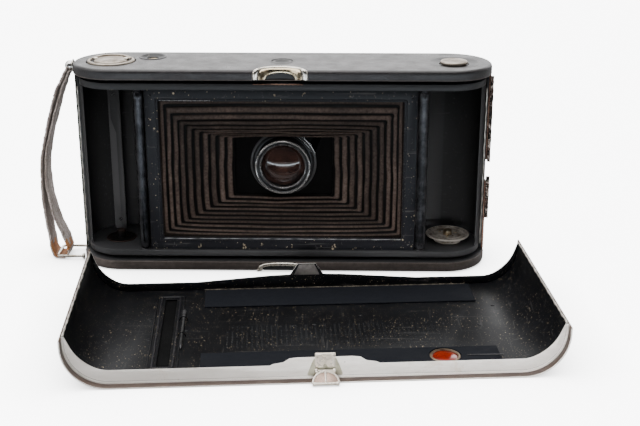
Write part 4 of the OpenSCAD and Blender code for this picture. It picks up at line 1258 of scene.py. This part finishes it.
def strap_fittings():
    """The ball stud and its collar above, the wire loop and its sockets below."""
    stud_x, stud_z = mm_box("strap_fittings")[0].x, TOP_LOW.z + 3
    place(lathe("strap_ball", [(1.5, -4.4), (1.5, -2.9)] + [(2.9 * cos(a),
        2.9 * sin(a) - 0.2) for a in (-pi * 0.32 + pi * 0.82 * k / 14 for k in range(14))] + [(0, 2.7)],
        metres(-END_X - 2.4, 0, stud_z), LEFT, "bright_edge", 48), "strap_fittings")
    detail(lathe("strap_collar", [(1.4, 0), (3.6, 0), (3.7, 0.4), (3.2, 0.8), (1.7, 0.95), (1.6, 3),
        (1.4, 3)], metres(-END_X, 0, stud_z), LEFT, "nickel", 40, closed=True), "body", "nickel")
    x0, x1 = stud_x + 0.8, -END_X + 0.6
    wire = [(x1, -8.6), (x0 + 3.4, -8.8), (x0 + 1.2, -8.4), (x0 + 0.15, -7.2), (x0, -5), (x0, 0), (x0, 5),
        (x0 + 0.15, 7.2), (x0 + 1.2, 8.4), (x0 + 3.4, 8.8), (x1, 8.6)]
    detail(tube("wire_loop", [metres(p.x, p.y, 2.5) for p in curve(wire, 5)], 0.78, "nickel", 12), "body",
        "nickel")
    for y in (-8.6, 8.6):
        detail(lathe("wire_socket", [(0, -0.4), (1.9, -0.4), (1.9, 0.1), (1.5, 0.7), (1, 1.1), (0, 1.1)],
            metres(-END_X, y, 2.5), LEFT, "nickel", 28), "body", "nickel")


# ---------------------------------------------------------------- the removed back

def back_frame():
    """The lying back's own axes: X along it, Y across it, Z up from the floor."""
    axis = Vector(joint("clasp_flip")["axis"])
    if axis.x < 0:
        axis = -axis
    low, high = mm_box("back_shell")
    turn = Matrix.Rotation(atan2(axis.y, axis.x), 4, "Z")
    return Matrix.Translation(Vector(((low.x + high.x) / 2, (low.y + high.y) / 2, 0))) @ turn


BACK = back_frame()


def back_box(node):
    """A node's corners in the back's own axes, in millimetres."""
    undo = BACK.inverted()
    source = frame["nodes"][node]
    points = [undo @ (source.matrix_world @ v.co / MM) for v in source.data.vertices]
    return (Vector(min(p[i] for p in points) for i in range(3)),
        Vector(max(p[i] for p in points) for i in range(3)))


def on_back(x, y, z):
    return (BACK @ Vector((x, y, z))) * MM


def back_axis(x, y, z):
    return BACK.to_3x3() @ Vector((x, y, z))


SHELL_BOX = back_box("back_shell")
SHELL_Y = SHELL_BOX[1].y
FLANGE = 0.75  # how far a flange stands beyond the shell
BACK_FLOOR = back_box("back_pads")[0].z
BEND = 22  # radius of the shell's upturned ends
LEVER_TILT = radians(40)


def shelf_line(x0, x1, y, inset, count):
    """A line along the back's curved section at one y, held inset millimetres inside the outer face."""
    half, tip = SHELL_BOX[1].x + 0.9, SHELL_BOX[1].z
    r = BEND
    points = []
    arc, flat = pi / 2 * r, half - r
    total = tip - r + arc + flat
    for k in range(count + 1):
        run = x0 + (x1 - x0) * k / count
        sign = 1 if run >= 0 else -1
        d = min(abs(run), total)
        if d <= flat:
            points.append((sign * d, y, inset))
        elif d <= flat + arc:
            a = (d - flat) / r
            points.append((sign * (flat + (r - inset) * sin(a)), y, r - (r - inset) * cos(a)))
        else:
            points.append((sign * (half - inset), y, r + d - flat - arc))
    return [on_back(*p) for p in points]


def taper_flange(piece):
    """Narrows both flanges to a point at the back's upturned ends."""
    undo = BACK.inverted()
    bend, shell, half = BEND, 1.9, SHELL_BOX[1].x + 0.9

    def narrowed(inset, keep):
        return shell + (inset - shell) * keep if inset > shell else inset

    for vert in piece.data.vertices:
        p = undo @ (vert.co / MM)
        if p.z < 8 or abs(p.x) < half - bend:
            continue
        sign = 1 if p.x > 0 else -1
        keep = 1 - 0.97 * min(1, max(0, (p.z - 9) / 16.5)) ** 1.5
        if p.z < bend:
            arm = Vector((abs(p.x) - (half - bend), p.z - bend))
            inset = bend - arm.length
            arm.normalize()
            reach = bend - narrowed(inset, keep)
            p.x, p.z = sign * (half - bend + arm.x * reach), bend + arm.y * reach
        else:
            inset = half - abs(p.x)
            p.x = sign * (half - narrowed(inset, keep))
        vert.co = (BACK @ p) * MM


def cut_at(piece, point, normal):
    """An extra edge loop where a plane crosses a mesh, so the material can change along a straight line."""
    with edited(piece.data) as bm:
        everything = bm.verts[:] + bm.edges[:] + bm.faces[:]
        bmesh.ops.bisect_plane(bm, geom=everything, plane_co=point, plane_no=normal, dist=1e-7)


def faces_out(local, normal):
    """True for a face on the outside of the curved shell."""
    return normal.z < -0.2 or normal.x * copysign(1, local.x) > 0.2


def back_cover():
    """The back's shell, its outer skin and the two flanges, with worn tips and soldered corners."""
    inward = back_axis(0, -1, 0)
    undo = BACK.inverted()
    shell = refine("back_shell", "back_inside", 0.15)
    skin = refine("back_leather", "back_leather", 0.35)
    for piece in (shell, skin):
        piece.data.materials.append(MATERIALS["flange_metal"])
        for y in (-SHELL_Y, -SHELL_Y - FLANGE):
            cut_at(piece, on_back(0, y, 0), back_axis(0, 1, 0))
        for face in piece.data.polygons:
            local = undo @ (face.center / MM)
            centre_side = undo.to_3x3() @ face.normal
            inside = centre_side.z > 0.2 or centre_side.x * local.x < -8
            edge = centre_side.y < -0.9
            ledge = -SHELL_Y - FLANGE < local.y < -SHELL_Y and (inside or abs(centre_side.x) > 0.2) and abs(
                centre_side.y) < 0.6
            if (edge and local.y < -SHELL_Y + 0.3) or (piece is skin and ledge and not faces_out(local,
                    centre_side)):
                face.material_index = 1
    flanges = refine("back_flanges", "flange_metal", 0.22)
    flanges.data.materials.append(MATERIALS["back_inside"])
    taper_flange(flanges)
    for face in flanges.data.polygons:
        local = undo @ (face.center / MM)
        if local.y > 0 and face.normal.dot(inward) > 0.3:
            face.material_index = 1
    (low, high), count = SHELL_BOX, 50
    for sign in (-1, 1):
        x = sign * (high.x - 0.5)
        line = [on_back(x + 0.1 * sin(k), low.y + 0.6 + (high.y - low.y - 1.2) * k / count,
            high.z - 0.1 + 0.08 * sin(k * 0.9)) for k in range(count + 1)]
        detail(tube("tip_edge", line, [0.5 + 0.14 * sin(k * 1.9) for k in range(count + 1)], "worn_edge", 8),
            "back", "black_enamel")
    for y in (low.y + 0.95, high.y - 0.95):
        line = shelf_line(-150, 150, y, 2, 160)
        detail(tube("corner_solder", line, [0.32 + 0.15 * abs(sin(k * 1.3)) for k in range(len(line))],
            "solder", 6), "back", "side_metal")


def writing_slot():
    """The slot's rims and door, the felt pads and the stylus in its clips."""
    door_low, door_high = back_box("writing_door")
    cx, cy, _ = middle(door_low, door_high)
    half_w, half_l = (door_high.x - door_low.x) / 2 - 0.7, (door_high.y - door_low.y) / 2 - 0.4
    for name, more_w, more_l, bend, z, radius, material, count in (("slot_rim", 0.9, 0.9, 1.2, 0.12, 0.62,
            "rim_chipped", 10), ("slot_step", 3.2, 2.6, 2, -0.05, 0.4, "back_inside", 8)):
        w, l = half_w + more_w, half_l + more_l
        line = [on_back(cx + p.x, cy + p.y, BACK_FLOOR + z) for p in rounded(rectangle(-w, -l, w, l), bend)]
        detail(tube(name, line, radius, material, count, closed=True), "back", "black_enamel")
    dress("door_skin", 0.15, "writing_door")
    pads = refine("back_pads", "pad_felt", 0.3)
    stylus_low, stylus_high = back_box("stylus")
    stylus_x, _, stylus_z = middle(stylus_low, stylus_high)
    r = (stylus_high.x - stylus_low.x) / 2
    length = stylus_high.y - stylus_low.y
    place(lathe("stylus_rod", [(0, 0), (0.25, 0.3), (r * 0.62, 3.2), (r * 0.72, 4), (r * 0.72, length - 9),
        (r, length - 8.6), (r, length - 7.6), (r * 0.8, length - 7.2), (r * 0.8, length - 6.2),
        (r, length - 5.8), (r, length - 1), (r * 0.7, length - 0.2), (0, length)],
        on_back(stylus_x, stylus_low.y, stylus_z), back_axis(0, 1, 0), "old_black", 28), "stylus")
    for y in (stylus_low.y + length * 0.3, stylus_low.y + length * 0.72):
        detail(tube("stylus_clip", [on_back(stylus_x + 2 * cos(a), y, 2.75 + 2.6 * sin(a)) for a in angles(pi,
            12)], 0.35, "back_inside", 8), "back", "steel")


def back_marks():
    """The red window, a film slit, the seam and tongue of the far flange, pressed rows and rivets."""
    ring_low, ring_high = back_box("window_ring")
    wx, wy, _ = middle(ring_low, ring_high)
    wr = (ring_high.x - ring_low.x) / 2
    place(lathe("window_bezel", [(6.25, 0.02), (wr, 0.02), (wr + 0.02, 0.35), (wr - 0.4, 0.66),
        (wr - 0.9, 0.62), (6.7, 0.4), (6.3, 0.32)], on_back(wx, wy, ring_low.z), UP, "ring_brass", 72,
        closed=True), "window_ring")
    pane_low, pane_high = back_box("window_glass")
    pr = (pane_high.x - pane_low.x) / 2
    place(lathe("ruby_pane", [(0, 0), (pr, 0), (pr, pane_high.z - pane_low.z - 0.15),
        (pr - 0.3, pane_high.z - pane_low.z), (0, pane_high.z - pane_low.z + 0.02)],
        on_back(wx, wy, pane_low.z), UP, "ruby", 64), "window_glass")
    detail(lathe("window_paper", [(0, 0.02), (pr, 0.02), (pr, 0.12), (0, 0.12)],
        on_back(wx, wy, pane_low.z - 0.3), UP, "ruby_backing", 48), "back", "ruby_glass")
    detail(plate("film_slit", rounded([(-9.5, -0.45), (9, -0.75), (9.5, 0.2), (-9, 0.6)], 0.4), 0.35,
        lambda u, v, w: on_back(wx + 20 + u, wy - 1.2 + v, BACK_FLOOR + 0.75 + w), "rim_chipped", 0.1),
        "back", "black_enamel")
    far = SHELL_BOX[1].y
    seam = shelf_line(-58, 90, far - 1, 2.05, 120)
    detail(tube("flange_seam", seam, [0.14 + 0.14 * abs(sin(k * 0.7)) for k in range(len(seam))],
        "seam_cream", 6), "back", "black_enamel")
    detail(plate("tongue_plate", rounded([(-7.2, 9.8), (7.2, 9.8), (4.3, 16), (-4.3, 16)], 0.5), 0.3,
        lambda u, v, w: on_back(u, far - 0.85 - w, v), "tongue_metal", 0.1), "back", "side_metal")
    rng = random.Random(5)
    bm = bmesh.new()
    for column in range(44):
        x = -44 + column * 2.55
        for row in range(9):
            y = -20 + row * 2.9 + rng.uniform(-0.3, 0.3)
            if rng.random() < 0.16:
                continue
            wide, tall = 0.5, rng.uniform(0.7, 1.15)
            for vert in bmesh.ops.create_cube(bm, size=1)["verts"]:
                shrink = 0.7 if vert.co.z > 0 else 1
                vert.co = on_back(x + vert.co.x * 2 * wide * shrink, y + vert.co.y * 2 * tall * shrink,
                    BACK_FLOOR + 0.02 + vert.co.z * 0.16)
    detail(new_object("pressed_marks", bm, "pressed", False), "back", "black_enamel")
    rng = random.Random(11)
    for k in range(9):
        x, y = rng.uniform(-104, 104), rng.uniform(-24, 24)
        detail(lathe("rivet", [(0, 0.26), (0.7, 0.22), (1.2, 0.05), (1.3, -0.1), (0, -0.1)],
            on_back(x, y, BACK_FLOOR), UP, "back_inside", 20), "back", "black_enamel")


def clasp():
    """The clasp on the near flange: a base plate, a folded tab and a hanging half-round lever."""
    cx = middle(*back_box("clasp_plate"))[0]
    flip = joint("clasp_flip")
    pivot = BACK.inverted() @ (Vector(flip["pos_m"]) / MM)
    place(plate("clasp_base", rounded([(-8.8, 2.3), (8.8, 2.3), (7.6, 5.6), (6.2, 9.4), (5.2, 11.4),
        (-5.2, 11.4), (-6.2, 9.4), (-7.6, 5.6)], 1.2), 0.5, lambda u, v, w: on_back(cx + u,
        -SHELL_Y - 0.6 + w, v), "clasp_base", 0.18), "clasp_plate")
    detail(plate("clasp_tab", rounded([(-4.9, 7), (-1.2, 7), (-0.5, 8.6), (0.5, 8.6), (1.2, 7), (4.9, 7),
        (4.9, 14.1), (-4.9, 14.1)], 0.4), 0.55, lambda u, v, w: on_back(cx + u,
        -SHELL_Y - 1.25 + w - 0.12 * sin((v - 7) * 0.45), v), "clasp_metal", 0.16), "back", "nickel")
    detail(lathe("clasp_roll", [(0, -4.95), (0.62, -4.9), (0.85, -4.6), (0.8, -3.6), (0.74, 0), (0.8, 3.6),
        (0.85, 4.6), (0.62, 4.9), (0, 4.95)], on_back(cx, -SHELL_Y - 1, 13.7), back_axis(1, 0, 0),
        "clasp_metal", 24), "back", "nickel")
    for side in (-1, 1):
        detail(lathe("clasp_lug", [(0.66, -0.6), (1.15, -0.6), (1.3, -0.35), (1.3, 0.35), (1.15, 0.6),
            (0.66, 0.6)], on_back(pivot.x + side * 4.3, pivot.y, pivot.z), back_axis(1, 0, 0), "clasp_metal",
            28, closed=True), "back", "nickel")
    down = Vector((0, -cos(LEVER_TILT), -sin(LEVER_TILT)))
    lift = Vector((0, sin(LEVER_TILT), -cos(LEVER_TILT)))

    def on_lever(u, v, w):
        p = pivot + Vector((u, 0, 0)) + down * v - lift * w
        return on_back(p.x, p.y, p.z)

    disc = [(6.3 * cos(a), 6.6 - 6.2 * sin(a)) for a in angles(pi, 30)]
    place(plate("clasp_leaf", disc, 0.6, lambda u, v, w: on_lever(u, v, w - 0.55), "clasp_copper", 0.12),
        "clasp_lever")
    detail(tube("clasp_rim", [on_lever(u, v, 0.05) for u, v in disc],
        [0.42 + 0.16 * sin(pi * k / 30) for k in range(31)], "clasp_metal", 10), "clasp", "nickel")
    detail(tube("clasp_rib", [on_lever(0.05 * sin(k), 0.5 + 5.6 * k / 12, 0.12) for k in range(13)],
        [0.62 - 0.2 * k / 12 for k in range(13)], "clasp_metal", 10), "clasp", "nickel")
    detail(lathe("clasp_pin", [(0, -5), (0.5, -4.95), (0.58, -4.7), (0.58, 4.7), (0.5, 4.95), (0, 5)],
        on_lever(0, 0, 0), back_axis(1, 0, 0), "clasp_metal", 24), "clasp", "nickel")
    detail(lathe("clasp_bar", [(0, -6.5), (0.75, -6.4), (1, -6), (0.95, -5.2), (0.8, -4.6), (0.78, 0),
        (0.8, 4.6), (0.95, 5.2), (1, 6), (0.75, 6.4), (0, 6.5)], on_lever(0, 6.8, 0.1), back_axis(1, 0, 0),
        "clasp_metal", 24), "clasp", "nickel")


# ---------------------------------------------------------------- front and bed

def front_details():
    """Pressed borders, screws, rails and plain scales on the side that folds open."""
    bed_low, bed_high = mm_box("bed_leather")
    y = bed_high.y
    for inset in (4, 5.6):
        line = rounded(rectangle(bed_low.x + inset, bed_low.z + inset, bed_high.x - inset,
            bed_high.z - inset), 5, 6)
        detail(tube("bed_border", [metres(p.x, y - 0.08, p.y) for p in line], 0.4, "black_leather", 8,
            closed=True), "bed", "leather")
    rail_low, rail_high = mm_box("bed_rails")
    for x in (rail_low.x + 4, 0, rail_high.x - 6):
        for z in (rail_low.z + 1.6, rail_high.z - 1.6):
            screw((x, rail_low.y - 0.02, z), REAR, 0.9, "bed", "nickel")
    for k in range(9):
        x = rail_low.x + 12 + k * 5
        detail(plate("distance_mark", rounded(rectangle(-0.22, -2.2, 0.22, 2.2), 0.1), 0.12,
            upright(x, rail_low.y - 0.05, rail_low.z + 6.5), "nickel", 0.02), "bed", "nickel")
    board_low, board_high = mm_box("lens_board")
    for sx, sz in CORNERS:
        screw((sx * (board_high.x - 4), board_high.y + 0.02,
            (board_low.z + board_high.z) / 2 + sz * ((board_high.z - board_low.z) / 2 - 4)), FRONT, 1.3,
            "standard", "nickel")
    face_low, face_high = mm_box("shutter_face")
    fz = middle(face_low, face_high)[2]
    for k in range(5):
        a = 0.3 + k * 2 * pi / 5
        screw((24.6 * cos(a), face_high.y, fz + 24.6 * sin(a)), FRONT, 0.95, "standard", "nickel",
            "dark_steel", a)
    for k in range(11):
        a = radians(205 + k * 13)
        u, v = Vector((cos(a), sin(a))), Vector((-sin(a), cos(a)))
        detail(plate("shutter_mark", rectangle(19.6, -0.16, 22.2, 0.16), 0.14,
            lambda p, q, w: Vector((u.x * p + v.x * q, face_high.y + w, fz + u.y * p + v.y * q)) * MM,
            "old_black", 0.02), "standard", "black_enamel")
    dial_low, dial_high = mm_box("speed_dial")
    dx, _, dz = middle(dial_low, dial_high)
    for a in circle(24):
        detail(lathe("dial_rib", raised(dial_high.y, [(0, -1.5), (0.25, -1.4), (0.25, -0.3), (0, -0.15)]),
            metres(dx + 5.35 * cos(a), 0, dz + 5.35 * sin(a)), FRONT, "nickel", 6), "dial", "nickel")
    screw((dx, dial_high.y - 0.1, dz), FRONT, 1.4, "dial", "nickel", "dark_steel")
    finder_low, finder_high = mm_box("finder_body")
    for x in (finder_low.x + 2.2, finder_high.x - 2.2):
        screw((x, finder_high.y, finder_low.z + 1.2), FRONT, 0.6, "standard", "nickel")
    hinge_low, hinge_high = mm_box("hinge_knuckles")
    for z in (hinge_low.z + 0.3, hinge_high.z - 0.3):
        detail(lathe("hinge_cap", [(0, -0.2), (1.1, -0.2), (1.2, 0.05), (0.8, 0.35), (0, 0.45)],
            metres(hinge_low.x + 1.6, hinge_high.y - 1.6, z), (0, 0, 1 if z > MID_Z else -1), "nickel", 24),
            "body", "nickel")
    for sx in (-1, 1):
        high = mm_box("front_leather_left" if sx < 0 else "front_leather_right")[1]
        for z0 in (13.5, 107.1):
            line = [metres(sx * (80 + 14 * k / 12), high.y - 0.02, z0) for k in range(13)]
            detail(tube("front_tooling", line, 0.3, "black_leather", 6), "body", "leather")


# ---------------------------------------------------------------- building

body_covers()
key_and_knobs()
catches()
bellows()
rear_lens()
front_lens()
rollers()
spool_parts()
chamber_trim()
gate()
torn_leather()
strap()
strap_fittings()
back_cover()
writing_slot()
back_marks()
clasp()
front_details()

dress("enamel", 0.3, "housing_top", "housing_bottom", "front_shell", "bed_panel", "lens_board",
    "shutter_case", "finder_body", "hinge_knuckles")
dress("inside", 0.15, "inner_wall_left", "inner_wall_right")
dress("inside", 0.4, "plate_bottom")
dress("chamber", 0.15, "chamber_shell_left", "chamber_shell_right")
dress("black_leather", 0.35, "front_leather_left", "front_leather_right", "bed_leather")
dress("nickel", 0.18, "bed_rails", "support_leg", "bed_struts", "carriage", "standard_frame", "shutter_face",
    "speed_dial", "shutter_lever", "aperture_lever")
dress("dark_steel", 0.15, "iris_blades")
dress("lens_glass", 0.2, "finder_glass")
join_details()


# ---------------------------------------------------------------- scene

DARK_ROOM = 1.1  # strength of the room that the object mirrors
WHITE_SWEEP = 7.4  # strength of the white that only the camera sees
PAPER_GLOW = 6.8  # the same for the floor


def area_light(name, place_at, look_at, size, power, tint=(1, 1, 1)):
    data = bpy.data.lights.new(name, "AREA")
    data.shape = "RECTANGLE"
    data.size, data.size_y = size
    data.energy = power
    data.color = tint
    lamp = add_object(name, data)
    lamp.location = place_at
    aim = Vector(look_at) - Vector(place_at)
    lamp.rotation_euler = aim.to_track_quat("-Z", "Y").to_euler()
    return lamp


def stage_floor():
    bm = bmesh.new()
    bmesh.ops.create_grid(bm, x_segments=1, y_segments=1, size=3)
    m = Nodes("paper")
    seen = m.add("ShaderNodeLightPath").outputs["Is Camera Ray"]
    m.colour(m.mix(seen, (0.3, 0.3, 0.3), (0.93, 0.93, 0.935)))
    m.rough(m.noise(30, 3, 0.5), 0.3, 0.6, 0.7, 0.68)
    m.gloss(0.1)
    m.put("Emission Color", (1, 1, 1))
    # Painted contact shadow: the floor's glow is dimmed near the object by ambient occlusion.
    near = m.add("ShaderNodeAmbientOcclusion", samples=12)
    near.inputs["Distance"].default_value = 0.04
    shade = m.ramp(near.outputs["AO"], [(0.25, 0.22), (1, 1)])
    m.put("Emission Strength", m.times(m.times(seen, PAPER_GLOW), shade))
    MATERIALS["paper"] = m.material
    floor = new_object("floor", bm, "paper")


def studio():
    """A white sweep behind the object and a dark room behind the eye."""
    world = bpy.data.worlds.new("studio")
    world.use_nodes = True
    tree = world.node_tree
    new, link = tree.nodes.new, tree.links.new
    back = tree.nodes["Background"]
    where = new("ShaderNodeTexCoord").outputs["Generated"]
    split, ramp, lift = new("ShaderNodeSeparateXYZ"), new("ShaderNodeValToRGB"), new("ShaderNodeMath")
    for element, place_on, colour in zip(ramp.color_ramp.elements, (0.38, 0.72),
            ((0.012, 0.012, 0.013, 1), (1, 1, 1, 1))):
        element.position, element.color = place_on, colour
    lift.operation = "MULTIPLY_ADD"
    lift.inputs[1].default_value = lift.inputs[2].default_value = 0.5
    back.inputs["Strength"].default_value = DARK_ROOM
    plain = new("ShaderNodeBackground")
    plain.inputs["Color"].default_value = (1, 1, 1, 1)
    plain.inputs["Strength"].default_value = WHITE_SWEEP
    seen = new("ShaderNodeMixShader")
    for source, target in ((where, split.inputs[0]), (split.outputs["Y"], lift.inputs[0]),
            (lift.outputs[0], ramp.inputs["Fac"]), (ramp.outputs["Color"], back.inputs["Color"]),
            (new("ShaderNodeLightPath").outputs["Is Camera Ray"], seen.inputs[0]),
            (back.outputs[0], seen.inputs[1]), (plain.outputs[0], seen.inputs[2]),
            (seen.outputs[0], tree.nodes["World Output"].inputs["Surface"])):
        link(source, target)
    bpy.context.scene.world = world
    area_light("overhead", (-0.2, 0.1, 1.6), (0, 0, 0), (2.2, 1.8), 48)
    area_light("side", (-1.1, -0.25, 0.75), (0, -0.02, 0.05), (0.7, 0.7), 4)
    area_light("sweep", (0, 1.6, 0.7), (0, 0, 0.1), (2.6, 0.8), 15)
    fill = area_light("front_fill", (0.35, -1.2, 0.95), (0, -0.1, 0.03), (1.2, 0.6), 5.5)
    fill.visible_glossy = False
    bounce = area_light("table_bounce", (0.11, -0.44, 0.012), (0.11, 0, 0.006), (0.6, 0.02), 0.16)
    bounce.data.spread = radians(32)
    bounce.visible_glossy = False
    bounce.visible_camera = False
    strip = area_light("front_strip", (0, -0.30, 0.004), (0, -0.30, 1), (2.8, 0.15), 7.5, (0.78, 0.9, 1))
    strip.visible_diffuse = False
    strip.visible_camera = False


EYE = (0.0338, -0.662, 0.2656)
EYE_DOWN, EYE_TURN = 19.75, -1.04  # degrees below level, and clockwise from straight ahead
LENS_LENGTH = 65.79  # on a frame 36 wide, in millimetres


def camera():
    """The view from behind the camera, slightly above and to its right."""
    data = bpy.data.cameras.new("view")
    data.sensor_width = 36
    data.lens = LENS_LENGTH
    eye = add_object("view", data)
    pitch, yaw = radians(EYE_DOWN), radians(EYE_TURN)
    forward = Vector((sin(yaw) * cos(pitch), cos(yaw) * cos(pitch), -sin(pitch)))
    eye.location = EYE
    eye.rotation_euler = forward.to_track_quat("-Z", "Y").to_euler()
    bpy.context.scene.camera = eye


stage_floor()
studio()
camera()
